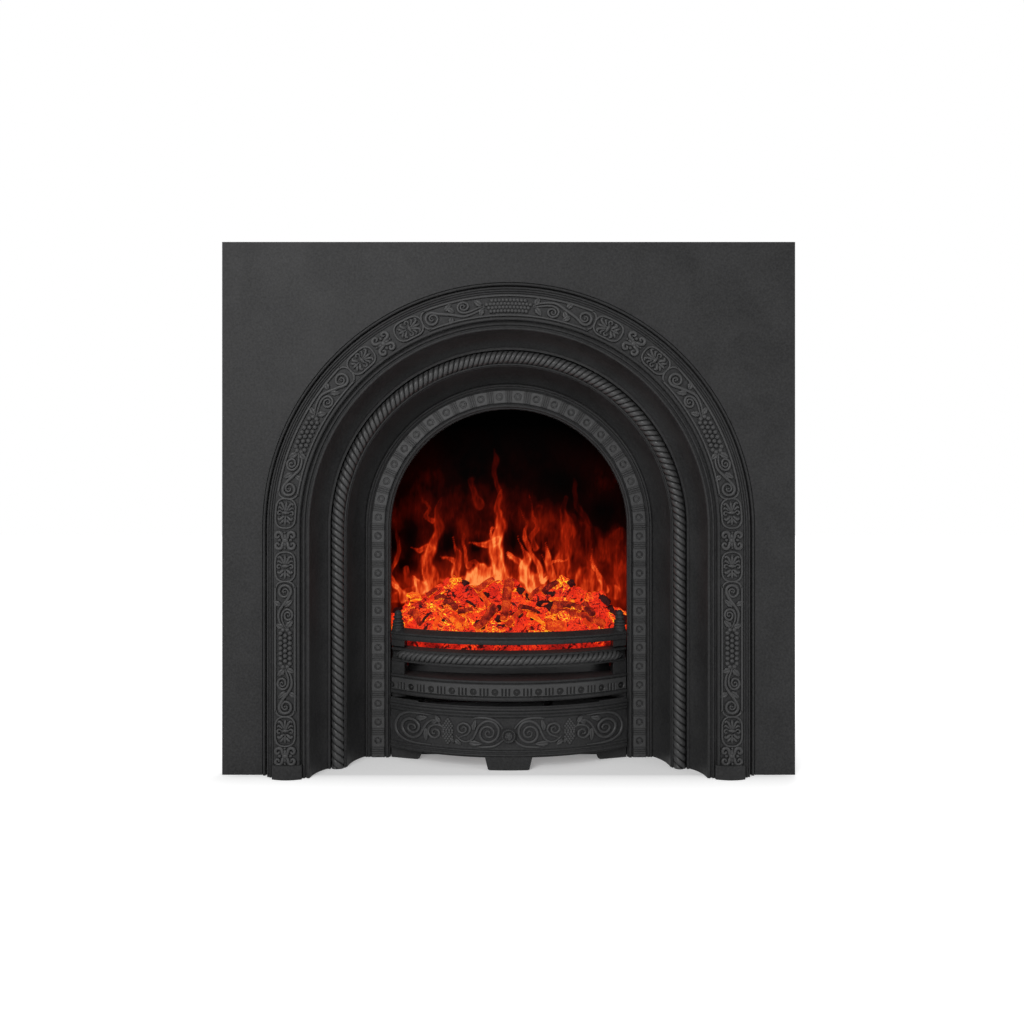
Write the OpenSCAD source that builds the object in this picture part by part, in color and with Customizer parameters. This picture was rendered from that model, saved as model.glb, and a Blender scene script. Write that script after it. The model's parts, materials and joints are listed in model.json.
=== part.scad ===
// Electric fireplace insert: an arched cast-iron face with a bowed grate, an ashpan cover,
// and a steel case behind that holds the flame effect, the fuel bed, a fan heater and the controls.
// Millimetres. X runs across, Y runs back, Z runs up from the hearth.

/* [Face plate] */
// Width of the square face plate
plate_w = 914; // [880:1:1000]
// Height of the face plate
plate_h = 850; // [825:1:950]
// Thickness of the cast plate
plate_t = 7; // [5:0.5:9]
// Depth of the rim that turns back round the plate
rim_depth = 18; // [14:1:26]

/* [Arch] */
// Clear width of the fire opening
opening_w = 406; // [396:1:416]
// Height of the springing line, where the legs turn into the arch
spring_h = 393; // [380:1:405]
// Width of the inner bead round the opening
inner_bead_w = 9.4; // [8.5:0.1:11]
// Width of the band of circles
circle_band_w = 22.2; // [20:0.1:25]
// Spacing of the circles along the band
circle_pitch = 32; // [28:1:36]
// Width of the two fine reeds outside the circle band
fine_reed_w = 11.4; // [10:0.1:13]
// Width of the inner cove
inner_cove_w = 20; // [16:1:24]
// Width of the seat that holds the rope moulding
rope_seat_w = 28; // [26:1:32]
// Width of the outer cove
outer_cove_w = 19; // [16:1:22]
// Width of the bead, ridge and strip inside the ornament band
strip_w = 19.7; // [18:0.1:22]
// Width of the ornament band
ornament_w = 37; // [34:1:40]
// Width of the three reeds outside the ornament band
outer_reed_w = 12.8; // [12:0.1:14]
// Width of the outermost bead
outer_bead_w = 10.5; // [9.5:0.1:12]
// How far the ornament band stands out of the plate
ornament_proud = 20; // [16:1:24]
// Depth of the rope seat behind the plate's face
rope_seat_depth = 46; // [42:1:50]
// Depth of the circle band behind the plate's face
circle_band_depth = 107.6; // [104:0.1:110]
// Diameter of the rope moulding
rope_d = 19; // [16:0.5:20]
// Spacing of the rope's strands at the feet, where it is longest
strand_foot = 12.2; // [11:0.1:15]
// Spacing of the rope's strands where the legs turn into the arch
strand_spring = 11.3; // [10:0.1:13]
// Spacing of the rope's strands at the crown
strand_crown = 8.3; // [8:0.1:11]

/* [Grate] */
// Radius of the bowed front, seen from above
bow_r = 305; // [290:1:330]
// Depth of the bars' front at the middle, behind the plate's face
bow_front = 28; // [25:1:34]
// Width of the grate across its ends
grate_w = 402; // [396:1:403]
// Height of the grate's underside above the hearth
grate_z = 110; // [108:0.5:114]
// Width of an upright
upright_w = 24.5; // [18:0.5:28]
// Diameter of the rope on the middle bar
bar_rope_d = 14.6; // [12:0.1:16]
// Spacing of the strands on the middle bar's rope
bar_strand = 8.9; // [8:0.1:12]
// Diameter of a finial
finial_d = 20.8; // [18:0.1:22]

/* [Ashpan cover] */
// Height of the cover's top edge
cover_h = 102.6; // [100:0.1:104]
// Height of the clear space between its feet
foot_h = 20.4; // [16:0.1:24]
// Thickness of the cast cover
cover_t = 6; // [4:0.5:7]
// Diameter of the knob
knob_d = 23.5; // [20:0.5:28]
// Height of the knob's centre
knob_z = 57; // [50:1:64]

/* [Case] */
// Inner width of the steel case
case_w = 450; // [444:1:470]
// Inner height of the steel case
case_h = 640; // [625:1:700]
// Depth of the case's back behind the plate's face
case_back = 290; // [280:1:320]
// Thickness of the sheet steel
sheet_t = 1.5; // [1:0.1:2]

/* [Working parts] */
// Radius of the flame rotor's foils
rotor_r = 26; // [20:1:27]
// Height of the flame rotor's shaft
rotor_z = 215; // [195:1:240]
// Number of foils along the rotor
foil_count = 9; // [5:1:12]
// Radius of the fan wheel
fan_r = 26; // [20:1:28]
// Number of blades on the fan wheel
fan_blades = 16; // [10:1:20]
// Number of lamps under the fuel bed
lamp_count = 12; // [6:1:16]
// Diameter of the mains cable that the gland takes
cable_d = 7.5; // [6:0.5:8.5]
// Diameter of the thermostat knob
dial_d = 28; // [22:1:30]

/* [Hidden] */
$fn = 160;

iron = [0.10, 0.10, 0.105];
steel = [0.16, 0.16, 0.17];
zinc = [0.62, 0.63, 0.65];
ember = [0.85, 0.22, 0.05];
black = [0.04, 0.04, 0.045];

// Clearances
gap = 0.3;          // curved faces that only sit beside each other
run = 0.05;         // a shaft in its bore, on the radius
half_gap = 0.15;    // a curved seat between two pieces of the grate
wall = 7;           // thickness of the castings

// Radii of the arch's members, from the opening outwards
r_open = opening_w / 2;
r_band_in = r_open + inner_bead_w;
r_band_out = r_band_in + circle_band_w;
r_cove_in = r_band_out + fine_reed_w;
r_seat_in = r_cove_in + inner_cove_w;
r_seat_out = r_seat_in + rope_seat_w;
r_strip_in = r_seat_out + outer_cove_w;
r_orn_in = r_strip_in + strip_w;
r_orn_out = r_orn_in + ornament_w;
r_reed_out = r_orn_out + outer_reed_w;
r_joint = r_reed_out + outer_bead_w;

// Depths, as heights proud of the plate's face, so a recess is negative
seat_p = -rope_seat_depth;
band_p = -circle_band_depth;
reed_floor_p = band_p - 5.4;
frame_back_p = reed_floor_p - wall;
opening_back = circle_band_depth + 17.4;
rope_r = rope_d / 2;
rope_x = (r_seat_in + r_seat_out) / 2;
rope_p = seat_p + 4.5;
fillet_p = seat_p + 10;
fillet_w = 3;
strip_p = ornament_proud + 4;
back_p = ornament_proud - 14;
flange_w = 10;
flange_t = 6;
seat_flange_w = 12;

// Plinth blocks at the feet of the ornament band
plinth_h = 22;
plinth_edge_p = ornament_proud + 6;
plinth_mid_p = ornament_proud + 12;

// The bowed front
bow_y = bow_front + bow_r;
bar_back_r = bow_r - 13;
rope_rail_front = bow_r - 7;
rope_rail_back = bow_r - 21.5;
rope_bar_z = 165;
rope_bar_h = 26;
top_rail_z = 202;
top_rail_h = 19;
lower_rail_h = 34.5;
shelf_t = 4;
bar_rope_r = bar_rope_d / 2;
bar_rope_z = rope_bar_z + 11.3;
bar_rope_ring = bow_r - bar_rope_r;
upright_back = opening_back + 9;
finial_x = grate_w / 2 - finial_d / 2 - 1.4;
finial_inset = 11.6;
finial_y = bow_y - sqrt(pow(bow_r - finial_inset, 2) - pow(finial_x, 2));

// The cover
cover_r = bow_r + 4;
cover_back_r = cover_r - cover_t;
cover_w = grate_w;
cover_foot_w = 77;
side_foot_w = 55;
catch_z = 50;
catch_h = 20;
catch_x = grate_w / 2 - 13;
catch_w = 14;
catch_y = bow_y - sqrt(pow(cover_back_r, 2) - pow(cover_w / 2, 2)) + 0.8;

// The case
flange_y = opening_back;
case_front = flange_y + 2;
case_x = case_w / 2;
case_in_back = case_back - sheet_t;

// The fuel tray and what stands on it
tray_front_y = 100;
tray_r = 438;
tray_z = 150;
tray_top_z = 178;
tray_back = 207;
screen_y = tray_back - 4;
screen_t = 3;
rotor_y = 250;
shaft_r = 3;
bearing_w = 26;
rotor_half = case_x - bearing_w;
foil_t = 0.8;

// The heater
duct_x0 = -150;
duct_x1 = 62;
duct_y0 = 142;
duct_y1 = 268;
duct_h = 86;
fan_y = 226;
fan_z = sheet_t + duct_h / 2;
fan_shaft_r = 2.5;
motor_r = 22;

// The controls
panel_x0 = 76;
panel_x1 = 184;
panel_y = case_front;
panel_t = 2;
panel_h = 96;
switch_xs = [90, 112, 134];
switch_z = 58;
pivot_back = 5;
rocker_tilt = 7;
rocker_half = 9.5;
rocker_w = 10.4;
pocket_w = rocker_w + 0.6;
pocket_h = 2 * rocker_half + 3;
dial_x = 166;
dial_z = 58;
dial_h = 14;
spindle_r = 3;

// The gland
gland_x = case_x - 55;
gland_z = 62;
gland_r = 8;
gland_out = 14;

// The whole object's middle lies at Y = 0
mid_depth = (case_back + gland_out - plinth_mid_p) / 2;

// Moves a piece from the face plate's depth scale to the model's frame
module seated() {
    translate([0, -mid_depth, 0]) children();
}

// Points along an ellipse's arc
function arc(cx, cy, rx, ry, a0, a1, n) =
    [for (i = [0 : n]) let (a = a0 + (a1 - a0) * i / n) [cx + rx * cos(a), cy + ry * sin(a)]];

// Points along a curve that bends from p0 to p2 towards p1
function bend(p0, p1, p2, n) =
    [for (i = [0 : n]) let (t = i / n) (1 - t) * (1 - t) * p0 + 2 * t * (1 - t) * p1 + t * t * p2];

// Points over a round bead, from its outer side to its inner side
function bead(cx, cy, r) = arc(cx, cy, r, r, 0, 180, 8);

// Sweeps a profile (half width, proud height) up one leg, over the arch and down the other
module arch_sweep() {
    translate([0, 0, spring_h]) rotate([90, 0, 0]) rotate_extrude(angle = 180) children();
    for (side = [0, 1])
        mirror([side, 0, 0]) linear_extrude(height = spring_h) mirror([0, 1]) children();
}

// The solid of an arched opening of a given half width, between two depths
module arch_opening(r, y0, y1) {
    translate([0, y1, spring_h]) rotate([90, 0, 0]) cylinder(r = r, h = y1 - y0);
    translate([-r, y0, -1]) cube([2 * r, y1 - y0, spring_h + 1]);
}

// A box from two corners
module block(x0, x1, y0, y1, z0, z1) {
    translate([x0, y0, z0]) cube([x1 - x0, y1 - y0, z1 - z0]);
}

// Puts a piece on both sides of the middle
module both_sides() {
    for (side = [0, 1]) mirror([side, 0, 0]) children();
}

// A bar of the bowed front: its profile is (radius from the bow's centre, height)
module bowed(half_w) {
    intersection() {
        translate([0, bow_y, 0]) rotate_extrude(angle = 110, start = 215) children();
        translate([-half_w, -60, -1]) cube([2 * half_w, 360, 300]);
    }
}

// Face plate

lug_xs = plate_w / 2 - 42;
lug_zs = [190, 640];
lug_hole_r = 3.5;

module wall_lug() {
    lug_w = 34;
    lug_t = 6;
    difference() {
        translate([0, rim_depth - lug_t, -lug_w / 2]) cube([42 - wall + 0.5, lug_t, lug_w]);
        translate([0, rim_depth + 1, 0]) rotate([90, 0, 0]) translate([16, 0, 0])
            cylinder(r = lug_hole_r, h = lug_t + 2);
    }
}

module face_plate() {
    color(iron) seated() {
        difference() {
            block(-plate_w / 2, plate_w / 2, 0, rim_depth, 0, plate_h);
            block(-plate_w / 2 + wall, plate_w / 2 - wall, plate_t, rim_depth + 1,
                -1, plate_h - wall);
            arch_opening(r_joint, -1, plate_t + 1);
        }
        both_sides() for (z = lug_zs) translate([lug_xs, 0, z]) wall_lug();
    }
}

// Arch casting: bead, reeds, ornament band, strip and outer cove, with the plinth blocks

outer_bead_r = 2.3;
outer_bead_p = 2.2;
outer_reed_r = 1.7;
strip_bead_r = 2.4;

module arch_profile() {
    x_bead = r_joint - 4;
    reed_step = 4.2;
    reed_x = r_reed_out - 2;
    cove_top = ornament_proud - 6;
    cove_h = cove_top - seat_p - 10;
    back_x = r_reed_out - 1.5;
    polygon(concat(
        [[r_joint - gap, -plate_t], [r_joint - gap, -1.6], [r_joint - 1.4, -3]],
        bead(x_bead, outer_bead_p, outer_bead_r),
        [[x_bead - outer_bead_r - 0.4, -1.5], [reed_x + outer_reed_r + 0.4, -1.5],
            [reed_x + outer_reed_r + 0.4, 9]],
        [for (i = [0 : 2])
            each bead(reed_x - reed_step * i, ornament_proud - 8.5 + 2.6 * i, outer_reed_r)],
        [[r_orn_out, ornament_proud - 4.5], [r_orn_out, ornament_proud],
            [r_orn_in, ornament_proud], [r_orn_in, strip_p - 1.2], [r_orn_in - 1, strip_p],
            [r_orn_in - 3.6, strip_p], [r_orn_in - 4.6, strip_p - 1.2],
            [r_orn_in - 4.8, strip_p - 9], [r_orn_in - 8.2, strip_p - 9]],
        bead(r_orn_in - 10.1, strip_p - 5.8, 1.7),
        [[r_orn_in - 12.2, strip_p - 8], [r_strip_in + 5.9, strip_p - 8]],
        bead(r_strip_in + 2.8, strip_p - 6.5, strip_bead_r),
        bend([r_strip_in, cove_top], [r_strip_in - 1.5, cove_top - 0.62 * cove_h],
            [r_seat_out + 1.4, cove_top - cove_h], 14),
        [[r_seat_out, fillet_p], [r_seat_out, fillet_p + 2],
            [r_seat_out - fillet_w, fillet_p + 2], [r_seat_out - fillet_w, seat_p],
            [r_seat_out + seat_flange_w - fillet_w, seat_p]],
        arc(r_seat_out + 1.4, cove_top, outer_cove_w + wall - 1.4, cove_h + wall, -70, -8, 10),
        [[back_x, back_p], [back_x, -plate_t - flange_t],
            [r_joint + flange_w, -plate_t - flange_t], [r_joint + flange_w, -plate_t]]));
}

module plinth_outline() {
    x0 = r_orn_in - 8;
    x1 = r_orn_out + 1.5;
    half = (x1 - x0) / 2;
    rise = plinth_mid_p - plinth_edge_p;
    bulge_r = (half * half + rise * rise) / (2 * rise);
    intersection() {
        translate([x0, back_p + 2]) square([x1 - x0, 60]);
        translate([(x0 + x1) / 2, plinth_mid_p - bulge_r]) circle(r = bulge_r);
    }
}

module arch_casting() {
    color(iron) seated() {
        arch_sweep() arch_profile();
        both_sides() linear_extrude(height = plinth_h) mirror([0, 1]) plinth_outline();
    }
}

// A cast rope: three strands that turn about a path. Each entry of the path holds a centre and
// two unit directions across it, and every ring turns by one side, so ridges follow the strands.
strands = 3;
rope_sides = 9;
valley = 0.8;

function strand_radius(k) = k % (rope_sides / strands) == 0 ? valley : 1;

module rope(path, r, taper) {
    last = len(path) - 1;
    turn = 360 / rope_sides;
    rings = [for (i = [0 : last])
        let (c = path[i][0], u = path[i][1], v = path[i][2],
            grow = taper ? min(1, 0.35 + min(i, last - i) * 0.13) : 1)
        each [for (k = [0 : rope_sides - 1])
            let (a = -(k + i) * turn, q = r * grow * strand_radius(k))
            c + q * (cos(a) * u + sin(a) * v)]];
    function at(i, k) = i * rope_sides + k % rope_sides;
    polyhedron(rings, concat(
        [[for (k = [0 : rope_sides - 1]) at(0, rope_sides - 1 - k)]],
        [for (i = [0 : last - 1], k = [0 : rope_sides - 1])
            each [[at(i, k), at(i, k + 1), at(i + 1, k)],
                [at(i, k + 1), at(i + 1, k + 1), at(i + 1, k)]]],
        [[for (k = [0 : rope_sides - 1]) at(last, k)]]));
}

// Steps along a path of a given length, each a third of the strands' spacing there
function rope_steps(length, spacing) =
    let (raw = [for (s = 0; s < length; s = s + spacing(s) / strands) s], n = len(raw) - 1)
    [for (s = raw) s * length / raw[n]];

rope_arc = PI * rope_x;
rope_length = 2 * spring_h + rope_arc;

function strand_spacing(s) =
    let (t = min(s, rope_length - s))
    t < spring_h
        ? strand_foot + (strand_spring - strand_foot) * t / spring_h
        : strand_spring + (strand_crown - strand_spring) * (t - spring_h) / (rope_arc / 2);

// The rope's centre line: up the left leg, over the arch and down the right one
function arch_station(s) =
    let (a = min(180, max(0, (s - spring_h) / rope_arc * 180)),
        drop = s < spring_h ? spring_h - s : max(0, s - spring_h - rope_arc),
        out = [-cos(a), 0, sin(a)])
    [[0, -rope_p, spring_h - drop] + rope_x * out, out, [0, -1, 0]];

module rope_moulding() {
    steps = rope_steps(rope_length, function (s) strand_spacing(s));
    color(iron) seated() rope([for (s = steps) arch_station(s)], rope_r, false);
}

// Inner frame: rope seat, inner cove, fine reeds, band of circles and the opening's bead

module frame_profile() {
    groove_r = rope_r + gap;
    groove_a = asin((seat_p - rope_p) / groove_r);
    cove_h = seat_p - reed_floor_p;
    fine_reed_r = 1.9;
    bead_r = 2.6;
    back_flange_p = rope_p - groove_r - wall;
    polygon(concat(
        [[r_seat_out + seat_flange_w - fillet_w - 0.5, seat_p]],
        arc(rope_x, rope_p, groove_r, groove_r, groove_a, -180 - groove_a, 16),
        [[r_seat_in + 3.9, seat_p], [r_seat_in + 3.7, seat_p + 4],
            [r_seat_in + 1.6, seat_p + 4], [r_seat_in + 1.4, seat_p]],
        bend([r_seat_in, seat_p], [r_seat_in - 1.5, seat_p - 0.64 * cove_h],
            [r_cove_in, reed_floor_p], 14),
        bead(r_cove_in - 2.5, reed_floor_p + 2.5, fine_reed_r),
        bead(r_cove_in - 6.5, reed_floor_p + 2.5, fine_reed_r),
        [[r_band_out + 0.8, reed_floor_p + 1.5], [r_band_out, band_p], [r_band_in, band_p],
            [r_band_in - 0.5, band_p - 3], [r_band_in - 2, band_p - 3]],
        bead(r_open + 4.7, band_p - 0.5, bead_r),
        [[r_open + 1.8, band_p - 2], [r_open, band_p - 2.5], [r_open, -opening_back],
            [r_open + 6, -opening_back], [r_open + 6, frame_back_p]],
        arc(r_cove_in, seat_p, inner_cove_w + wall, cove_h + wall, -84, -10, 12),
        [[r_seat_in + wall, back_flange_p],
            [r_seat_out + seat_flange_w - fillet_w - 0.5, back_flange_p]]));
}

// Band of circles: shallow dishes with three short bars between each pair
band_x = (r_band_in + r_band_out) / 2;
dish_r = 6.2;
dish_deep = 2;
dish_foot = 28;
bar_w = 1.8;
bar_l = circle_band_w - 1.4;
bar_proud = 1.6;

// Puts a piece on the band, facing forwards, at a distance from the left foot along the band
module on_band(s) {
    a = min(180, max(0, (s - spring_h) / (PI * band_x) * 180));
    drop = s < spring_h ? spring_h - s : max(0, s - spring_h - PI * band_x);
    translate([-band_x * cos(a), -band_p, spring_h + band_x * sin(a) - drop])
        rotate([0, a - 180, 0]) children();
}

band_length = 2 * spring_h + PI * band_x;
dish_count = 2 * round((band_length / 2 - dish_foot) / circle_pitch + 0.5);
dish_step = (band_length - 2 * dish_foot) / (dish_count - 1);

module dish() {
    ball_r = (dish_r * dish_r + dish_deep * dish_deep) / (2 * dish_deep);
    translate([0, dish_deep - ball_r, 0]) sphere(r = ball_r);
}

module triglyph() {
    for (z = [-1, 0, 1])
        translate([-bar_l / 2, -bar_proud, z * 2 * bar_w - bar_w / 2])
            cube([bar_l, bar_proud + 1, bar_w]);
}

module inner_frame() {
    color(iron) seated() {
        difference() {
            arch_sweep() frame_profile();
            for (i = [0 : dish_count - 1]) on_band(dish_foot + dish_step * i) dish();
        }
        for (i = [0 : dish_count - 2]) on_band(dish_foot + dish_step * (i + 0.5)) triglyph();
    }
}

// Bolts that hold the inner frame to the arch casting, from behind
module frame_bolts() {
    head_r = 5;
    head_h = 5;
    head_x = r_seat_out + (seat_flange_w - fillet_w) / 2 - 0.5;
    head_y = -(rope_p - rope_r - gap - wall);
    color(zinc) seated() {
        both_sides() for (z = [60, 320])
            translate([head_x, head_y + head_h, z]) rotate([90, 0, 0])
                cylinder(r = head_r, h = head_h, $fn = 6);
        for (a = [45, 90, 135])
            translate([0, head_y + head_h, spring_h]) rotate([90, 0, 0])
                rotate([0, 0, a]) translate([head_x, 0, 0])
                    cylinder(r = head_r, h = head_h, $fn = 6);
    }
}

// Grate: bars that follow the bow, on two uprights

module top_rail() {
    z0 = top_rail_z;
    z1 = top_rail_z + top_rail_h;
    color(iron) seated() {
        bowed(grate_w / 2) polygon(concat(
            [[bar_back_r - 8, z0 + 2], [bow_r - 9, z0 + 2], [bow_r - 8, z0], [bow_r - 5, z0]],
            arc(bow_r - 4.6, z0 + 2.5, 2.5, 2.5, -90, 0, 5),
            [[bow_r - 1.6, z0 + 4], [bow_r - 1.6, z0 + 7.6], [bow_r - 2.6, z0 + 8.8]],
            arc(bow_r - 2, z0 + 11.4, 2, 2, -80, 80, 8),
            [[bow_r - 3, z0 + 13.8], [bar_back_r - 3, z1], [bar_back_r - 8, z1]]));
        // Round seats for the finials
        both_sides() translate([finial_x, finial_y, z0 + 8])
            cylinder(r = finial_d / 2 - 0.8, h = top_rail_h - 8);
    }
}

module rope_bar() {
    groove_r = bar_rope_r + gap;
    z1 = rope_bar_z + rope_bar_h;
    color(iron) seated() bowed(grate_w / 2) difference() {
        polygon([[rope_rail_back, rope_bar_z], [rope_rail_front, rope_bar_z],
            [rope_rail_front, z1 - 4.5], [rope_rail_front - 1.2, z1 - 3.6],
            [rope_rail_back + 1, z1], [rope_rail_back, z1]]);
        translate([bar_rope_ring, bar_rope_z]) circle(r = groove_r);
    }
}

function bar_station(a) =
    let (out = [sin(a), -cos(a), 0])
    [[0, bow_y, bar_rope_z] + bar_rope_ring * out, [0, 0, 1], out];

module bar_rope() {
    half_a = asin((grate_w / 2 - 1) / bow_r);
    length = 2 * half_a * PI / 180 * bar_rope_ring;
    steps = rope_steps(length, function (s) bar_strand);
    color(iron) seated()
        rope([for (s = steps) bar_station(half_a * (2 * s / length - 1))], bar_rope_r, true);
}

module lower_rail() {
    z0 = grate_z;
    z1 = grate_z + lower_rail_h;
    color(iron) seated() {
        bowed(grate_w / 2) polygon(concat(
            [[bar_back_r, z0], [bow_r - 4, z0]],
            arc(bow_r - 2.4, z0 + 4, 2.4, 3.2, -90, 90, 8),
            [[bow_r - 3.5, z0 + 8], [bow_r - 3.5, z0 + 28.5], [bow_r - 2.4, z0 + 29.2]],
            arc(bow_r - 2.2, z1 - 2.4, 2.2, 2.2, -90, 90, 8),
            [[bow_r - 4, z1], [bar_back_r, z1]]));
        // The shelf between the rail and the front of the fuel tray
        difference() {
            intersection() {
                translate([0, bow_y, z1 - shelf_t]) cylinder(r = bar_back_r + 2, h = shelf_t);
                block(gap + upright_w - grate_w / 2, grate_w / 2 - upright_w - gap,
                    0, 200, 0, 300);
            }
            translate([0, tray_front_y + tray_r, z1 - shelf_t - 1])
                cylinder(r = tray_r + 1, h = shelf_t + 2);
        }
    }
}

// The uprights' front stands nearly flush with the bars, in the two gaps between them
module uprights() {
    face_r = bow_r - 5;
    color(iron) seated() both_sides() difference() {
        intersection() {
            block(grate_w / 2 - upright_w, grate_w / 2, 60, upright_back,
                grate_z, top_rail_z + 2);
            translate([0, bow_y, 0]) union() {
                cylinder(r = bar_back_r - half_gap, h = 300);
                translate([0, 0, grate_z + lower_rail_h + half_gap])
                    cylinder(r = face_r, h = rope_bar_z - grate_z - lower_rail_h - 2 * half_gap);
                translate([0, 0, rope_bar_z + rope_bar_h + half_gap])
                    cylinder(r = face_r, h = top_rail_z - rope_bar_z - rope_bar_h - 2 * half_gap);
            }
        }
        translate([0, bow_y, 0]) rotate_extrude()
            translate([rope_rail_back - half_gap, rope_bar_z - half_gap])
                square([30, rope_bar_h + 2 * half_gap]);
    }
}

// A turned finial like a beehive: flange, three rings and a dome
module finial() {
    r = finial_d / 2;
    rotate_extrude() polygon(concat(
        [[0, 0], [r - 0.4, 0], [r, 0.6], [r, 2.4], [r - 1, 3.2], [r - 1.2, 4.2]],
        arc(r - 2.2, 6.4, 2, 2.1, -80, 80, 7),
        [[r - 1.6, 9.2]],
        arc(r - 2.8, 11.6, 2, 2.2, -70, 70, 7),
        [[r - 3.6, 14.6], [r - 3.6, 15.4]],
        arc(r - 4.9, 18.6, 2.3, 3, -75, 75, 8),
        [[r - 4.4, 22.4]],
        arc(0, 23.4, r - 3.8, 7.6, 0, 90, 9)));
}

module finials() {
    color(iron) seated() both_sides()
        translate([finial_x, finial_y, top_rail_z + top_rail_h]) finial();
}

// Ashpan cover: a bowed casting with beads, a panel, feet and a knob

module cover_profile() {
    r = cover_r - 1;
    polygon(concat(
        [[cover_back_r, 0], [r, 0], [r, foot_h + 1]],
        arc(r - 1, foot_h + 3.6, 2.2, 2.2, -90, 90, 6),
        arc(r - 1.2, foot_h + 9.6, 1.8, 1.8, -90, 90, 6),
        [[r - 0.5, foot_h + 13], [r - 2, foot_h + 15.5], [r - 2, cover_h - 19],
            [r - 0.5, cover_h - 17.5]],
        arc(r - 1, cover_h - 15, 1.8, 1.8, -90, 90, 6),
        arc(r - 0.8, cover_h - 9.5, 2.4, 2.4, -90, 90, 6),
        arc(r - 0.8, cover_h - 4.4, 2.4, 2.4, -90, 90, 6),
        [[r - 2, cover_h - 1], [r - 2.5, cover_h], [cover_back_r, cover_h]]));
}

module cover_outline() {
    half = cover_w / 2;
    mid_top = cover_foot_w / 2;
    mid_low = mid_top - 5.5;
    polygon([[-half, foot_h], [-mid_top, foot_h], [-mid_low - 0.8, 1.6], [-mid_low + 1.2, 0],
        [mid_low - 1.2, 0], [mid_low + 0.8, 1.6], [mid_top, foot_h], [half, foot_h],
        [half, cover_h + 1], [-half, cover_h + 1]]);
}

// A side foot, set back behind the cover's lower beads and joined to its back
module side_foot() {
    x0 = cover_w / 2 - side_foot_w;
    x1 = cover_w / 2;
    foot_back = opening_back - 9;
    intersection() {
        translate([0, foot_back + 1, 0]) rotate([90, 0, 0]) linear_extrude(height = 80)
            polygon([[x0 + 9, 0], [x1, 0], [x1, foot_h + 8], [x0, foot_h + 8], [x0, foot_h],
                [x0 + 3, 7], [x0 + 5, 2.5]]);
        union() {
            linear_extrude(height = 60) polygon([[x0, foot_back - 24], [x1, foot_back - 6],
                [x1, foot_back], [x0, foot_back]]);
            translate([0, 0, foot_h]) linear_extrude(height = 60) difference() {
                translate([x0, foot_back - 80]) square([side_foot_w, 80]);
                translate([0, bow_y]) difference() {
                    circle(r = 2 * cover_r);
                    circle(r = cover_back_r + 1);
                }
            }
        }
    }
}

knob_screw_r = 2.5;

module ashpan_cover() {
    tab_x = cover_w / 2 - 50;
    color(iron) seated() difference() {
        union() {
            intersection() {
                translate([0, bow_y, 0]) rotate_extrude(angle = 110, start = 215)
                    cover_profile();
                translate([0, bow_y, 0]) rotate([90, 0, 0]) linear_extrude(height = bow_y + 60)
                    cover_outline();
            }
            // Low tabs along the top edge at both ends
            both_sides() intersection() {
                translate([0, bow_y, 0]) rotate_extrude(angle = 110, start = 215)
                    translate([cover_back_r, cover_h - 1]) square([3, 3]);
                block(tab_x, cover_w / 2, -60, bow_y, 0, 200);
            }
            both_sides() side_foot();
            // Lugs that meet the magnetic catches
            both_sides() intersection() {
                block(catch_x, catch_x + catch_w - 2, 60, catch_y, catch_z, catch_z + catch_h);
                translate([0, bow_y, 0]) cylinder(r = cover_back_r + 2, h = 200);
            }
        }
        translate([0, bow_front + 20, knob_z]) rotate([90, 0, 0])
            cylinder(r = knob_screw_r + gap, h = 60);
    }
}

module cover_knob() {
    seat_y = bow_y - cover_r + 3;
    r = knob_d / 2;
    color(iron) seated() translate([0, seat_y, knob_z]) rotate([90, 0, 0]) difference() {
        rotate_extrude() polygon(concat(
            [[0, 0], [r * 0.55, 0], [r * 0.45, 2], [r * 0.45, 4]],
            arc(r - 2.2, 6.4, 2.2, 2.2, -90, 90, 8),
            arc(0, 8, r * 0.62, 4, 0, 90, 8)));
        translate([0, 0, -1]) cylinder(r = knob_screw_r + run, h = 7);
    }
}

module knob_screw() {
    seat_y = bow_y - cover_back_r;
    color(zinc) seated() {
        translate([0, seat_y + half_gap, knob_z]) rotate([90, 0, 0])
            cylinder(r = knob_screw_r, h = seat_y + half_gap - (bow_y - cover_r + 3) + 5);
        translate([0, seat_y + 3 + half_gap, knob_z]) rotate([90, 0, 0]) cylinder(r = 5, h = 3);
    }
}

// Case: a flange with the arched opening and five flat sheets

module case_flange() {
    color(steel) seated() difference() {
        block(-case_x - 20, case_x + 20, flange_y, case_front, 0, case_h + 12);
        arch_opening(r_open + 1, flange_y - 1, case_front + 1);
    }
}

module case_right() {
    color(steel) seated()
        block(case_x, case_x + sheet_t, case_front, case_in_back, sheet_t, case_h);
}

module case_left() {
    color(steel) seated()
        block(-case_x - sheet_t, -case_x, case_front, case_in_back, sheet_t, case_h);
}

module case_top() {
    color(steel) seated()
        block(-case_x - sheet_t, case_x + sheet_t, case_front, case_back, case_h,
            case_h + sheet_t);
}

module case_floor() {
    color(steel) seated()
        block(-case_x - sheet_t, case_x + sheet_t, case_front, case_back, 0, sheet_t);
}

vent_w = 180;
vent_h = 56;
vent_x = (duct_x0 + duct_x1) / 2;

module case_back_panel() {
    color(steel) seated() difference() {
        block(-case_x - sheet_t, case_x + sheet_t, case_in_back, case_back, sheet_t, case_h);
        block(vent_x - vent_w / 2, vent_x + vent_w / 2, case_in_back - 1, case_back + 1,
            fan_z - vent_h / 2, fan_z + vent_h / 2);
        translate([gland_x, case_back + 1, gland_z]) rotate([90, 0, 0])
            cylinder(r = gland_r, h = sheet_t + 2);
    }
}

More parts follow.
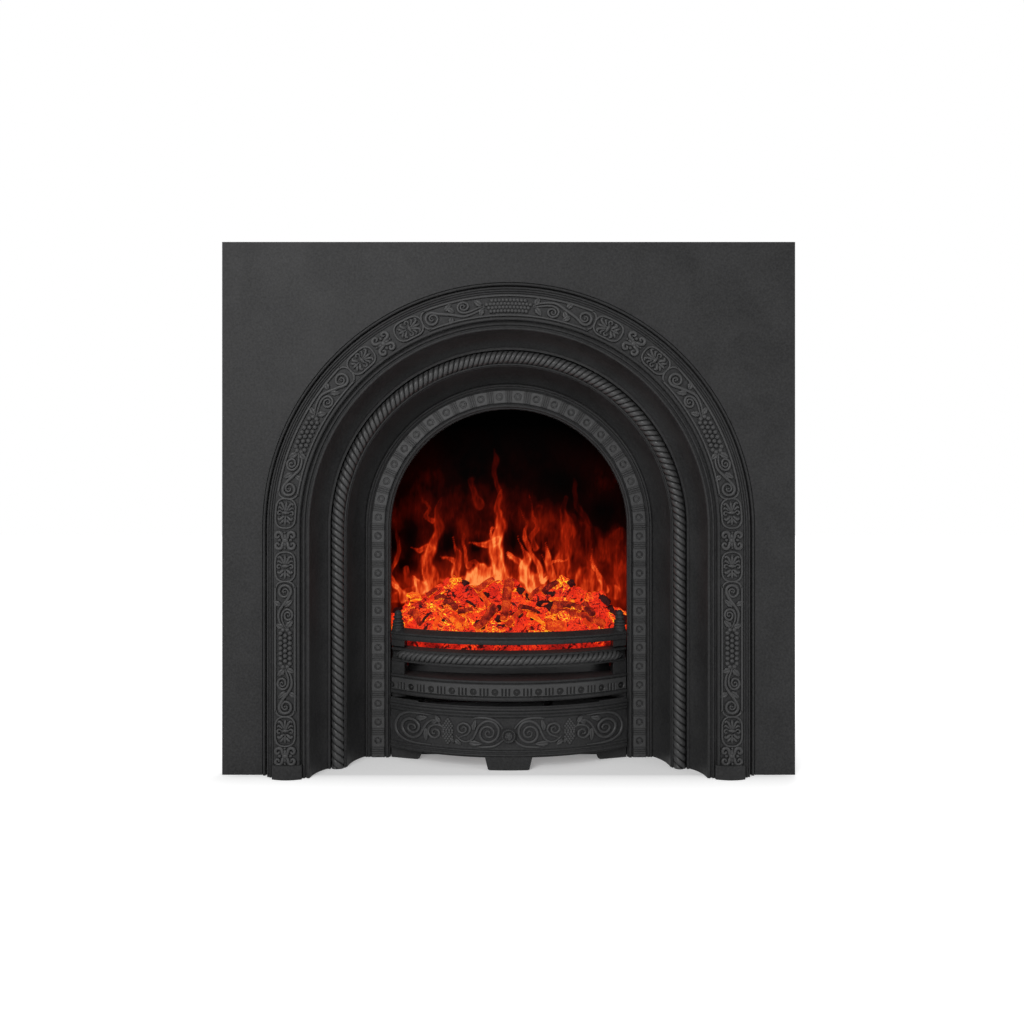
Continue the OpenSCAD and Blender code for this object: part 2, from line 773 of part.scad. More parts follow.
// A louvred cover over the air inlet at the back
module vent_cover() {
    slot_count = 9;
    slot_pitch = vent_w / slot_count;
    color(steel) seated() difference() {
        block(vent_x - vent_w / 2 - 10, vent_x + vent_w / 2 + 10, case_back, case_back + 3,
            fan_z - vent_h / 2 - 10, fan_z + vent_h / 2 + 10);
        for (i = [0 : slot_count - 1])
            block(vent_x - vent_w / 2 + slot_pitch * i + 4,
                vent_x - vent_w / 2 + slot_pitch * (i + 1) - 4,
                case_back - 1, case_back + 4, fan_z - vent_h / 2 + 2, fan_z + vent_h / 2 - 2);
    }
}

module grate_supports() {
    z0 = grate_z - 10;
    color(steel) seated() both_sides() {
        block(grate_w / 2 - upright_w + 2, case_x, case_front, case_front + 3, z0, grate_z);
        block(grate_w / 2 - upright_w + 2, grate_w / 2 + 4, case_front + 2,
            upright_back + 3, grate_z - 3, grate_z);
    }
}

module magnet_catches() {
    color(steel) seated() both_sides() {
        block(catch_x, catch_x + catch_w, catch_y + gap, case_front + 3, catch_z, catch_z + catch_h);
        block(catch_x, case_x - 4, case_front, case_front + 3, catch_z, catch_z + catch_h);
    }
}

// Fuel tray with a bowed front, the fuel bed, the logs and the flame screen

// The tray from above, back to a given depth
module tray_plan(y1) {
    intersection() {
        translate([0, tray_front_y + tray_r]) circle(r = tray_r);
        translate([-(grate_w / 2 - upright_w - 2), 0])
            square([2 * (grate_w / 2 - upright_w - 2), y1]);
    }
}

module fuel_tray() {
    color(steel) seated() difference() {
        union() {
            linear_extrude(height = tray_top_z) difference() {
                tray_plan(150);
                translate([0, sheet_t]) tray_plan(200);
            }
            translate([0, 0, tray_z]) linear_extrude(height = sheet_t) union() {
                tray_plan(tray_back);
                translate([-case_x, upright_back + 4])
                    square([case_w, tray_back - upright_back - 4]);
            }
        }
        // Its skirt starts above the grate's lower rail, and its floor is open over the lamps
        block(-case_x, case_x, 0, bed_back, -1, grate_z + 2);
        block(-board_half + 10, board_half - 10, upright_back - 6, tray_back - 17,
            tray_z - 1, tray_z + sheet_t + 1);
    }
}

bed_front = tray_front_y + sheet_t + 1;
bed_back = screen_y - 2;
bed_z = tray_z + sheet_t;
bed_top = 310;

// The heap's outline from the front: humps of coals across the bed
module bed_outline() {
    half = case_x - 6;
    polygon([[-half, bed_z], [half, bed_z], [half, 236], [180, 256], [162, 264], [140, 268],
        [118, 290], [104, bed_top - 2], [92, bed_top], [78, 302], [60, 286], [42, 279],
        [32, 276], [20, 292], [6, 303], [-16, 305], [-34, 292], [-52, 284], [-66, 292],
        [-84, 304], [-98, bed_top - 3], [-112, 300], [-134, 280], [-158, 262], [-190, 250],
        [-half, 236]]);
}

// The heap's outline from the side: it climbs from the tray's lip to the flame screen
module bed_side() {
    polygon([[bed_front, bed_z], [bed_front, tray_top_z + 4], [bed_front + 5, 196],
        [bed_front + 14, 212], [bed_front + 34, 238], [bed_front + 58, 276],
        [bed_back - 24, bed_top], [bed_back, bed_top], [bed_back, bed_z]]);
}

// The heap from above: bowed in front between the uprights, as wide as the case behind them
module bed_plan() {
    half = grate_w / 2 - upright_w - 6;
    intersection() {
        translate([0, tray_front_y + tray_r]) circle(r = tray_r - sheet_t - 1);
        union() {
            translate([-half, 0]) square([2 * half, bed_back]);
            translate([6 - case_x, upright_back + 4])
                square([case_w - 12, bed_back - upright_back]);
        }
    }
}

log_r = 11;
log_ends = [
    [[-96, 158, 246], [-18, 134, 250]],
    [[26, 130, 245], [112, 156, 250]],
    [[-50, 172, 290], [34, 166, 292]]
];

module log_rod(ends, r) {
    d = ends[1] - ends[0];
    len = norm(d);
    translate(ends[0]) rotate([0, acos(d[2] / len), atan2(d[1], d[0])])
        cylinder(r = r, h = len);
}

module ember_bed() {
    color(ember) seated() difference() {
        intersection() {
            translate([0, bed_back + 1, 0]) rotate([90, 0, 0])
                linear_extrude(height = bed_back) bed_outline();
            rotate([90, 0, 90]) translate([0, 0, -case_x])
                linear_extrude(height = case_w) bed_side();
            linear_extrude(height = bed_top + 1) bed_plan();
        }
        for (ends = log_ends) log_rod(ends, log_r + gap);
    }
}

module logs() {
    color([0.12, 0.09, 0.08]) seated() for (ends = log_ends) log_rod(ends, log_r);
}

module flame_screen() {
    color([0.3, 0.12, 0.08]) seated()
        block(-case_x, case_x, screen_y, screen_y + screen_t, tray_z + sheet_t, case_h);
}

// Flame rotor: foils on a shaft that turns behind the screen

module flame_rotor() {
    foil_len = 2 * (rotor_half - 12) / foil_count;
    color(zinc) seated() translate([0, rotor_y, rotor_z]) rotate([0, 90, 0]) {
        translate([0, 0, -rotor_half - 10]) cylinder(r = shaft_r, h = 2 * rotor_half + 20);
        for (i = [0 : foil_count - 1])
            rotate([0, 0, i * 37])
                translate([-rotor_r, -foil_t / 2, -rotor_half + 12 + foil_len * i + 1])
                    cube([2 * rotor_r, foil_t, foil_len - 2]);
    }
}

module rotor_bearing() {
    color(black) seated() translate([rotor_half, rotor_y, rotor_z]) rotate([0, 90, 0])
        difference() {
            union() {
                cylinder(r = 9, h = bearing_w);
                translate([-14, -14, bearing_w - 3]) cube([28, 28, 3]);
            }
            translate([0, 0, -1]) cylinder(r = shaft_r + run, h = 14);
        }
}

module rotor_motor() {
    color(zinc) seated() translate([-rotor_half, rotor_y, rotor_z]) rotate([0, -90, 0])
        difference() {
            union() {
                cylinder(r = 20, h = bearing_w);
                translate([-26, -14, bearing_w - 2]) cube([52, 28, 2]);
            }
            translate([0, 0, -1]) cylinder(r = shaft_r + run, h = 14);
        }
}

// Lamps under the fuel bed

lamp_y = 150;
lamp_rail_z = 116;
rail_w = 34;
rail_t = 2;
rail_h = 10;
board_half = case_x - 75;
board_t = 1.6;

module lamp_rail() {
    color(steel) seated() {
        block(-case_x, case_x, lamp_y, lamp_y + rail_w, lamp_rail_z, lamp_rail_z + rail_t);
        for (y = [lamp_y, lamp_y + rail_w - rail_t])
            block(-case_x, case_x, y, y + rail_t, lamp_rail_z, lamp_rail_z + rail_h);
    }
}

module lamp_board() {
    color([0.05, 0.25, 0.12]) seated()
        block(-board_half, board_half, lamp_y + 4, lamp_y + rail_w - 4,
            lamp_rail_z + rail_t, lamp_rail_z + rail_t + board_t);
}

module lamps() {
    base_r = 4;
    base_h = 2;
    row = board_half - 10;
    pitch = 2 * row / lamp_count;
    color([0.95, 0.9, 0.7]) seated() for (i = [0 : lamp_count - 1])
        translate([pitch * (i + 0.5) - row, lamp_y + rail_w / 2,
            lamp_rail_z + rail_t + board_t]) {
            cylinder(r = base_r, h = base_h);
            intersection() {
                translate([0, 0, base_h]) sphere(r = base_r - 1);
                translate([-base_r, -base_r, base_h / 2]) cube(2 * base_r);
            }
        }
}

// Heater: a duct with a fan wheel, its motor, the element and the outlet grille

module heater_duct() {
    color(zinc) seated() difference() {
        block(duct_x0, duct_x1, duct_y0, duct_y1, sheet_t, sheet_t + duct_h);
        block(duct_x0 + sheet_t, duct_x1 - sheet_t, duct_y0 - 1, duct_y1 + 1,
            2 * sheet_t, duct_h);
        translate([duct_x0 - 1, fan_y, fan_z]) rotate([0, 90, 0])
            cylinder(r = 7, h = duct_x1 - duct_x0 + 2);
    }
}

module outlet_grille() {
    slot_count = 11;
    slot_pitch = (duct_x1 - duct_x0 - 8) / slot_count;
    color(steel) seated() difference() {
        block(duct_x0, duct_x1, duct_y0 - 3, duct_y0, sheet_t, sheet_t + duct_h);
        for (i = [0 : slot_count - 1])
            block(duct_x0 + 4 + slot_pitch * i + 2, duct_x0 + 4 + slot_pitch * (i + 1) - 2,
                duct_y0 - 4, duct_y0 + 1, sheet_t + 10, sheet_t + duct_h - 10);
    }
}

// A flat heating element: a frame with bars across the duct
module heating_element() {
    y0 = duct_y0 + 22;
    color(zinc) seated() {
        difference() {
            block(duct_x0 + sheet_t, duct_x1 - sheet_t, y0, y0 + 14, 2 * sheet_t, duct_h);
            block(duct_x0 + 12, duct_x1 - 12, y0 - 1, y0 + 15, 2 * sheet_t + 9, duct_h - 9);
        }
        for (i = [0 : 4])
            translate([duct_x0 + 11, y0 + 7, 2 * sheet_t + 17 + i * 12]) rotate([0, 90, 0])
                cylinder(r = 2.5, h = duct_x1 - duct_x0 - 22);
    }
}

fan_x0 = duct_x0 + 12;
fan_x1 = duct_x1 - 12;

module fan_wheel() {
    color(zinc) seated() translate([0, fan_y, fan_z]) rotate([0, 90, 0]) {
        translate([0, 0, duct_x0 - 1]) cylinder(r = fan_shaft_r, h = duct_x1 - duct_x0 + 9);
        for (x = [fan_x0, (fan_x0 + fan_x1) / 2, fan_x1 - 2])
            translate([0, 0, x]) cylinder(r = fan_r, h = 2);
        for (i = [0 : fan_blades - 1])
            rotate([0, 0, i * 360 / fan_blades]) translate([fan_r - 7, 0, fan_x0])
                rotate([0, 0, 30]) cube([5.5, 1, fan_x1 - fan_x0]);
    }
}

module fan_bearing() {
    color(black) seated() translate([duct_x0, fan_y, fan_z]) rotate([0, -90, 0])
        difference() {
            union() {
                translate([0, 0, -sheet_t]) cylinder(r = 7, h = sheet_t);
                cylinder(r = 11, h = 6);
            }
            translate([0, 0, -sheet_t - 1]) cylinder(r = fan_shaft_r + run, h = 7);
        }
}

module fan_motor() {
    motor_l = 11;
    color(zinc) seated() translate([duct_x1, fan_y, fan_z]) rotate([0, 90, 0]) difference() {
        union() {
            cylinder(r = motor_r, h = motor_l);
            translate([0, 0, -sheet_t]) cylinder(r = 7, h = sheet_t + 1);
        }
        translate([0, 0, -sheet_t - 1]) cylinder(r = fan_shaft_r + run, h = sheet_t + 10);
    }
}

module thermal_cutout() {
    color(black) seated() translate([-20, 190, sheet_t + duct_h]) {
        cylinder(r = 10, h = 7);
        translate([0, 0, 7]) cylinder(r = 2.5, h = 3);
    }
}

// Controls behind the ashpan cover

module control_panel() {
    color(steel) seated() difference() {
        union() {
            block(panel_x0, panel_x1, panel_y, panel_y + panel_t, sheet_t, panel_h);
            block(panel_x0, panel_x1, panel_y, panel_y + 40, sheet_t, 2 * sheet_t);
        }
        for (x = switch_xs)
            block(x - pocket_w / 2, x + pocket_w / 2, panel_y - 1, panel_y + panel_t + 1,
                switch_z - pocket_h / 2, switch_z + pocket_h / 2);
        translate([dial_x, panel_y + panel_t + 1, dial_z]) rotate([90, 0, 0])
            cylinder(r = spindle_r + 1, h = panel_t + 2);
    }
}

module switch_bodies() {
    pin_r = 1.5;
    color(black) seated() for (x = switch_xs) difference() {
        block(x - 9, x + 9, panel_y + panel_t, panel_y + 22, switch_z - 15, switch_z + 15);
        block(x - pocket_w / 2, x + pocket_w / 2, panel_y, panel_y + 14,
            switch_z - pocket_h / 2, switch_z + pocket_h / 2);
        translate([x - 7.2, panel_y + pivot_back, switch_z]) rotate([0, 90, 0])
            cylinder(r = pin_r + run, h = 14.4);
    }
}

// A rocker with a shallow V front, on a pin across its middle
module rocker(x) {
    color(black) seated() translate([x, panel_y + pivot_back, switch_z])
        rotate([-rocker_tilt, 0, 0]) {
            rotate([90, 0, 90]) translate([0, 0, -rocker_w / 2])
                linear_extrude(height = rocker_w)
                    polygon([[-9.5, rocker_half], [-6.5, 0], [-9.5, -rocker_half],
                        [-5, -rocker_half], [2.5, -3], [2.5, 3], [-5, rocker_half]]);
            translate([-6.9, 0, 0]) rotate([0, 90, 0]) cylinder(r = 1.5, h = 13.8);
        }
}

module rocker_lamp() {
    rocker(switch_xs[0]);
}

module rocker_heat_low() {
    rocker(switch_xs[1]);
}

module rocker_heat_high() {
    rocker(switch_xs[2]);
}

module thermostat_body() {
    color(black) seated() difference() {
        block(dial_x - 14, dial_x + 14, panel_y + panel_t, panel_y + 22, dial_z - 16, dial_z + 16);
        translate([dial_x, panel_y + 17, dial_z]) rotate([90, 0, 0])
            cylinder(r = spindle_r + run, h = 20);
    }
}

module thermostat_knob() {
    color(black) seated() translate([dial_x, panel_y - gap, dial_z]) rotate([90, 0, 0]) {
        cylinder(r = dial_d / 2, h = 3);
        cylinder(r = dial_d / 2 - 3, h = dial_h - 2);
        translate([-1.5, 0, 0]) cube([3, dial_d / 2 - 3, dial_h]);
        translate([0, 0, -15]) cylinder(r = spindle_r, h = 16);
    }
}

module terminal_box() {
    color(black) seated() difference() {
        block(gland_x - 30, gland_x + 30, 205, 262, sheet_t, 46);
        for (x = [-18, 0, 18]) translate([gland_x + x, 233, 40]) cylinder(r = 3, h = 8);
    }
}

module cable_gland() {
    color(black) seated() translate([gland_x, case_back, gland_z]) rotate([-90, 0, 0])
        difference() {
            union() {
                cylinder(r = gland_r + 4, h = 6, $fn = 6);
                cylinder(r = gland_r, h = gland_out);
                translate([0, 0, -sheet_t]) cylinder(r = gland_r - 0.1, h = sheet_t);
                translate([0, 0, -sheet_t - 6]) cylinder(r = gland_r + 4, h = 6, $fn = 6);
            }
            translate([0, 0, -sheet_t - 7]) cylinder(r = cable_d / 2 + 0.25, h = gland_out + 9);
        }
}

// Screws round the edge of the case's back
module case_screws() {
    head_r = 4;
    head_h = 2;
    edge = 12;
    color(zinc) seated() {
        both_sides() for (z = [120 : (case_h - 160) / 2 : case_h - 40])
            translate([case_x - edge, case_back + head_h, z]) rotate([90, 0, 0])
                cylinder(r = head_r, h = head_h);
        both_sides() translate([case_w / 6, case_back + head_h, case_h - edge])
            rotate([90, 0, 0]) cylinder(r = head_r, h = head_h);
    }
}

face_plate();
arch_casting();
rope_moulding();
inner_frame();
frame_bolts();
top_rail();
rope_bar();
bar_rope();
lower_rail();
uprights();
finials();
ashpan_cover();
cover_knob();
knob_screw();
case_flange();
case_left();
case_right();
case_top();
case_floor();
case_back_panel();
vent_cover();
grate_supports();
magnet_catches();
fuel_tray();
ember_bed();
logs();
flame_screen();
flame_rotor();
rotor_bearing();
rotor_motor();
lamp_rail();
lamp_board();
lamps();
heater_duct();
outlet_grille();
heating_element();
fan_wheel();
fan_bearing();
fan_motor();
thermal_cutout();
control_panel();
switch_bodies();
rocker_lamp();
rocker_heat_low();
rocker_heat_high();
thermostat_body();
thermostat_knob();
terminal_box();
cable_gland();
case_screws();
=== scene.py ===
"""Looks for an arched cast-iron electric fireplace insert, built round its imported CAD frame.

Ornament is drawn flat, in millimetres, and then laid on the arch or on the bowed front. The frame
itself is in metres: X across, Y back, Z up from the hearth.
"""

import json
import logging
import math
import random
from collections.abc import Callable, Iterable, Sequence
from dataclasses import dataclass, field
from enum import Enum

import bpy
import numpy as np
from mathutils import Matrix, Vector, noise


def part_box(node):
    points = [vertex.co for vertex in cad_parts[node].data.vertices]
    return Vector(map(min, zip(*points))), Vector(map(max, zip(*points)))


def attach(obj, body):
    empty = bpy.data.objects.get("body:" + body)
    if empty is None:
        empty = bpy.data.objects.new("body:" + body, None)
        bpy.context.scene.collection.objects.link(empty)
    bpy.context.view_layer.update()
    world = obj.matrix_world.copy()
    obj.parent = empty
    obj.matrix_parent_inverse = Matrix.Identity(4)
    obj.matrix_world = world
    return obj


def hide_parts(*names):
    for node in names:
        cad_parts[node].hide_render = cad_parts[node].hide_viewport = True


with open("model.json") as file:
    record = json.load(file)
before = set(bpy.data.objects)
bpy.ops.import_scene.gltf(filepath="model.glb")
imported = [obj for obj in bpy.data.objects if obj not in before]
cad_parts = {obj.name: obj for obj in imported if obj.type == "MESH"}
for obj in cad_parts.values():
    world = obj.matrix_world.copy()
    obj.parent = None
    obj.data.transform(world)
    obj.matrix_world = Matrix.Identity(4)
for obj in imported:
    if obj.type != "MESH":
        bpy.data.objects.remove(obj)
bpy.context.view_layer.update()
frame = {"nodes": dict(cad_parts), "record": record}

Obj = bpy.types.Object
Socket = bpy.types.NodeSocket
Point2 = tuple[float, float]
Colour = tuple[float, float, float]
Rows = tuple[tuple[float, ...], ...]
Lay = Callable[[np.ndarray], np.ndarray]

LOG = logging.getLogger("insert")
MM = 0.001
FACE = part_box("face_plate")[0].y / MM
# The mesh mark for painted shade: 0 where a point is painted darkest, in creases and hollows, 1
# where none is painted.
PAINTED_SHADE_MARK = "relief_painted_shade"
WHITE = (1, 1, 1, 1)


class Body(Enum):
    """The CAD bodies that new pieces ride on."""

    ROOT = "root"
    GRATE = "grate"
    COVER = "cover"


class Slot(Enum):
    """The record's material slots, which new pieces are passed with."""

    IRON = "cast_iron_black"
    COALS = "coals_glowing"
    LOGS = "logs_charred"
    SCREEN = "screen_smoked"
    PLASTIC = "plastic_black"


class Bench:
    """Small jobs that every piece needs: selecting, skinning, copying and joining meshes."""

    @staticmethod
    def clear() -> None:
        """Leaves edit mode and deselects everything."""
        if bpy.context.object and bpy.context.object.mode != "OBJECT":
            bpy.ops.object.mode_set(mode="OBJECT")
        for obj in bpy.context.selected_objects:
            obj.select_set(False)

    @staticmethod
    def hold(*objs: Obj) -> None:
        """Selects some objects and nothing else.

        Args:
            *objs: The objects; the first becomes the active one.
        """
        Bench.clear()
        for obj in objs:
            obj.select_set(True)
        bpy.context.view_layer.objects.active = objs[0]

    @staticmethod
    def edit(obj: Obj, *steps: Callable[[], object]) -> None:
        """Runs mesh operators on the whole of one object.

        Args:
            obj: The mesh object.
            *steps: What is run, each time with the whole mesh selected.
        """
        Bench.hold(obj)
        bpy.ops.object.mode_set(mode="EDIT")
        for step in steps:
            bpy.ops.mesh.select_all(action="SELECT")
            step()
        bpy.ops.object.mode_set(mode="OBJECT")

    @staticmethod
    def outwards() -> None:
        """Turns the selected faces outwards."""
        bpy.ops.mesh.normals_make_consistent(inside=False)

    @staticmethod
    def ball(subdivisions: int, radius: float) -> Obj:
        """Adds a round lump, which is then shaped or copied.

        Args:
            subdivisions: How fine it is.
            radius: Its radius.

        Returns:
            The new object.
        """
        Bench.clear()
        bpy.ops.mesh.primitive_ico_sphere_add(subdivisions=subdivisions, radius=radius)
        return bpy.context.object

    @staticmethod
    def grid(name: str, columns: int, rows: int) -> Obj:
        """Adds a flat grid from -1 to 1.

        Args:
            name: The new object's name.
            columns: Squares across.
            rows: Squares up.

        Returns:
            The new object.
        """
        Bench.clear()
        bpy.ops.mesh.primitive_grid_add(x_subdivisions=columns, y_subdivisions=rows)
        bpy.context.object.name = name
        return bpy.context.object

    @staticmethod
    def skin(name: str, rings: np.ndarray, unshaded: np.ndarray | None = None) -> Obj:
        """Wraps a grid round a row of rings, and closes the tube's ends.

        Args:
            name: The new object's name.
            rings: Points of shape (rings, sides, 3).
            unshaded: The painted shade on each point, from 0 for the darkest, in creases, to 1 for
                none, shaped (rings, sides).

        Returns:
            A closed mesh object.
        """
        tube = Bench.grid(name, rings.shape[1], rings.shape[0] - 1)
        Bench.put_points(tube, np.concatenate([rings, rings[:, :1]], axis=1))
        # The mark paints shade: points in creases get a darker colour.
        if unshaded is not None:
            Bench.mark(tube, PAINTED_SHADE_MARK, np.concatenate([unshaded, unshaded[:, :1]], axis=1).ravel())
        Bench.edit(tube, lambda: bpy.ops.mesh.remove_doubles(threshold=1e-5),
                   lambda: bpy.ops.mesh.fill_holes(sides=0), Bench.outwards)
        return tube

    @staticmethod
    def slab(name: str, columns: int, rows: int) -> tuple[Obj, np.ndarray, slice]:
        """Makes a flat grid with a flat back, ready to be shaped by its points.

        Args:
            name: The new object's name.
            columns: Squares across.
            rows: Squares up.

        Returns:
            A closed sheet from -1 to 1, its points, and which of them are its back's.
        """
        def close_back() -> None:
            """Extrudes the rim in place and closes it with one face."""
            bpy.ops.mesh.region_to_loop()
            bpy.ops.mesh.extrude_region_move()
            bpy.ops.mesh.edge_face_add()

        sheet = Bench.grid(name, columns, rows)
        Bench.edit(sheet, close_back)
        return sheet, Bench.points(sheet), slice((columns + 1) * (rows + 1), None)

    @staticmethod
    def mark(obj: Obj, name: str, value: float | np.ndarray) -> None:
        """Stores an attribute on an object's points.

        Args:
            obj: The object.
            name: The attribute's name.
            value: One number for all, or a number or a vector for each point.
        """
        kind, key = ("FLOAT_VECTOR", "vector") if np.ndim(value) == 2 else ("FLOAT", "value")
        if not np.ndim(value):
            value = np.full(len(obj.data.vertices), value)
        marks = obj.data.attributes.new(name, kind, "POINT")
        marks.data.foreach_set(key, value.astype(np.float32).ravel())

    @staticmethod
    def points(obj: Obj) -> np.ndarray:
        """Reads an object's vertices.

        Args:
            obj: The mesh object.

        Returns:
            An array of shape (count, 3).
        """
        flat = np.empty(len(obj.data.vertices) * 3, np.float32)
        obj.data.vertices.foreach_get("co", flat)
        return flat.reshape(-1, 3).astype(float)

    @staticmethod
    def put_points(obj: Obj, points: np.ndarray) -> None:
        """Writes an object's vertices from an array."""
        obj.data.vertices.foreach_set("co", points.astype(np.float32).ravel())
        obj.data.update()

    @staticmethod
    def copy(obj: Obj, lay: Lay) -> Obj:
        """Copies an object with its own mesh, and lays its points somewhere.

        Args:
            obj: The template.
            lay: Turns the template's points into the copy's points.

        Returns:
            The new object.
        """
        twin = obj.copy()
        twin.data = obj.data.copy()
        bpy.context.collection.objects.link(twin)
        Bench.put_points(twin, lay(Bench.points(obj)))
        return twin

    @staticmethod
    def join(name: str, parts: Sequence[Obj], tidy: bool = True) -> Obj:
        """Joins objects into one.

        Args:
            name: The joined object's name.
            parts: The objects; the first one stays.
            tidy: Whether normals are turned outwards afterwards.

        Returns:
            The joined object.
        """
        Bench.hold(*parts)
        if len(parts) > 1:
            bpy.ops.object.join()
        joined = parts[0]
        joined.name = joined.data.name = name
        if tidy:
            Bench.edit(joined, Bench.outwards)
        return joined

    @staticmethod
    def discard(parts: Iterable[Obj]) -> None:
        """Removes templates that were only copied."""
        for part in parts:
            bpy.data.objects.remove(part)

    @staticmethod
    def hand_over(obj: Obj, finish: "Finish", smooth: float = 0, slot: Slot = Slot.IRON,
                  body: Body = Body.ROOT, stands_for: Sequence[str] = ()) -> None:
        """Shades a finished piece and gives it its material and its body.

        Args:
            obj: The piece.
            finish: Its material.
            smooth: The angle in degrees up to which it is shaded smooth, or 0 for flat faces.
            slot: The record's material slot; not used.
            body: The CAD body it rides on.
            stands_for: CAD nodes that it replaces.
        """
        if smooth:
            Bench.hold(obj)
            bpy.ops.object.shade_smooth_by_angle(angle=math.radians(smooth))
        obj.data.materials.clear()
        obj.data.materials.append(finish.material())
        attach(obj, body.value)
        if stands_for:
            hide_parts(*stands_for)
        LOG.info("%s: %d faces, on %s", obj.name, len(obj.data.polygons), body.value)


class Nodes:
    """A short hand for building the node tree of one material or world."""

    def __init__(self, owner: bpy.types.Material | bpy.types.World) -> None:
        """Empties a new material's or world's tree.

        Args:
            owner: The material or world.
        """
        owner.use_nodes = True
        self.owner, self.tree = owner, owner.node_tree
        self.tree.nodes.clear()

    def add(self, kind: str, *feeds: object, **values: object) -> bpy.types.Node:
        """Adds a node and sets it up.

        Args:
            kind: The node's type without its ShaderNode prefix.
            *feeds: What its first inputs get, in order: sockets or plain values.
            **values: Attributes, or other inputs with spaces written as underscores.

        Returns:
            The new node.
        """
        node = self.tree.nodes.new("ShaderNode" + kind)
        inputs = list(enumerate(feeds))
        for key, value in values.items():
            if hasattr(node, key):
                setattr(node, key, value)
            else:
                inputs.append((key.replace("_", " "), value))
        for key, value in inputs:
            if isinstance(value, Socket):
                self.tree.links.new(value, node.inputs[key])
            else:
                node.inputs[key].default_value = value
        return node

    def where(self, *scale: float) -> Socket:
        """Returns Object coordinates, times three scales if they are given."""
        place = self.add("TexCoord").outputs["Object"]
        return self.add("Mapping", place, Scale=scale or (1, 1, 1)).outputs["Vector"]

    def noise(self, where: Socket, scale: float, detail: float = 2, warp: float = 0) -> Socket:
        """Returns noise, about 0.5 on average, of a scale, octaves and distortion."""
        return self.add("TexNoise", Vector=where, Scale=scale, Detail=detail,
                        Distortion=warp).outputs["Fac"]

    def cells(self, where: Socket, scale: float) -> Socket:
        """Returns the distance in a cell pattern of the given scale."""
        return self.add("TexVoronoi", Vector=where, Scale=scale).outputs["Distance"]

    def span(self, value: Socket, low: float, high: float, to_low: float, to_high: float) -> Socket:
        """Returns a value mapped from one range to another, clamped."""
        return self.add("MapRange", value, low, high, to_low, to_high).outputs["Result"]

    def maths(self, operation: str, *terms: Socket | float) -> Socket:
        """Joins numbers by one arithmetic operation, from left to right.

        Args:
            operation: The operation's name.
            *terms: Sockets or plain numbers.

        Returns:
            The result's socket.
        """
        total = terms[0]
        for term in terms[1:]:
            total = self.add("Math", total, term, operation=operation).outputs[0]
        return total

    def ramp(self, value: Socket, *stops: tuple[float, Colour]) -> Socket:
        """Returns a colour from a value.

        Args:
            value: The value.
            *stops: Positions with their colours, in rising order.

        Returns:
            The colour's socket.
        """
        node = self.add("ValToRGB", value)
        elements = node.color_ramp.elements
        while len(elements) < len(stops):
            elements.new(0.5)
        for element, (position, colour) in zip(elements, stops):
            element.position = position
            element.color = (*colour, 1)
        return node.outputs["Color"]

    def scaled(self, colour: Socket, share: Socket) -> Socket:
        """Returns a colour multiplied by a number."""
        return self.add("VectorMath", colour, operation="SCALE", Scale=share).outputs["Vector"]

    def marked(self, name: str, output: str = "Fac") -> Socket:
        """Returns a mesh attribute's value."""
        return self.add("Attribute", attribute_name=name).outputs[output]

    def bump(self, height: Socket, distance: float, strength: float, **under: Socket) -> Socket:
        """Returns a normal bumped by a height in metres, over another Normal if it is given."""
        return self.add("Bump", Height=height, Distance=distance, Strength=strength,
                        **under).outputs["Normal"]

    def seen(self) -> Socket:
        """Tells the rays that look from those that only light.

        Returns:
            1 for the camera, a gloss or a clear material, else 0.
        """
        ray = self.add("LightPath").outputs
        return self.maths("MAXIMUM", *(ray[f"Is {kind} Ray"]
                                       for kind in ("Camera", "Glossy", "Transmission")))

    def finish(self, shader: bpy.types.Node, output: str = "OutputMaterial") -> bpy.types.ID:
        """Connects a shader to a new output and returns the material or world."""
        self.add(output, shader.outputs[0])
        return self.owner

    def principled(self, **inputs: object) -> bpy.types.Material:
        """Ends the tree in a principled shader with these inputs, and returns the material."""
        return self.finish(self.add("BsdfPrincipled", **inputs))


@dataclass(frozen=True)
class Finish:
    """A finish that builds its material once."""

    name: str

    def material(self) -> bpy.types.Material:
        """Returns the material, which is made at the first call."""
        made = bpy.data.materials.get(self.name)
        return made or self.build(Nodes(bpy.data.materials.new(self.name)))

    def build(self, nodes: Nodes) -> bpy.types.Material:
        """Builds the node tree."""
        raise NotImplementedError


@dataclass(frozen=True)
class CastIron(Finish):
    """Satin black cast iron: a fine leathery skin with pits, and worn, smoother patches."""

    dark: Colour = (0.018, 0.018, 0.0184)
    light: Colour = (0.034, 0.034, 0.0346)
    grain: float = 300
    pits: float = 1020
    worn: float = 14
    rough_low: float = 0.42
    rough_high: float = 0.54
    specular: float = 0.09
    relief: float = 0.00012
    # How dark the painted shade in creases goes, as a share of the colour; 1 paints none.
    crease_shade: float = 1.0

    def build(self, nodes: Nodes) -> bpy.types.Material:
        """Builds the iron's colour, roughness and grain, with shade painted into creases from the
        mesh's mark.

        Args:
            nodes: The new material's empty tree.

        Returns:
            The finished material.
        """
        where = nodes.where()
        leather = nodes.noise(where, self.grain, 3, 0.4)
        patches = nodes.noise(where, self.worn, 4, 0.6)
        mottle = nodes.maths("ADD", nodes.maths("MULTIPLY", leather, 0.65),
                             nodes.maths("MULTIPLY", patches, 0.35))
        colour = nodes.ramp(mottle, (0.34, self.dark), (0.66, self.light))
        # Painted shade: the colour is darkened where the mark says a point lies in creases or
        # hollows.
        if self.crease_shade < 1:
            colour = nodes.scaled(colour, nodes.span(nodes.marked(PAINTED_SHADE_MARK), 0, 1, self.crease_shade, 1))
        fine = nodes.bump(nodes.cells(where, self.pits), self.relief * 0.35, 0.5)
        return nodes.principled(
            Base_Color=colour, Specular_IOR_Level=self.specular,
            Roughness=nodes.span(patches, 0.35, 0.65, self.rough_low, self.rough_high),
            Normal=nodes.bump(leather, self.relief, 0.8, Normal=fine))


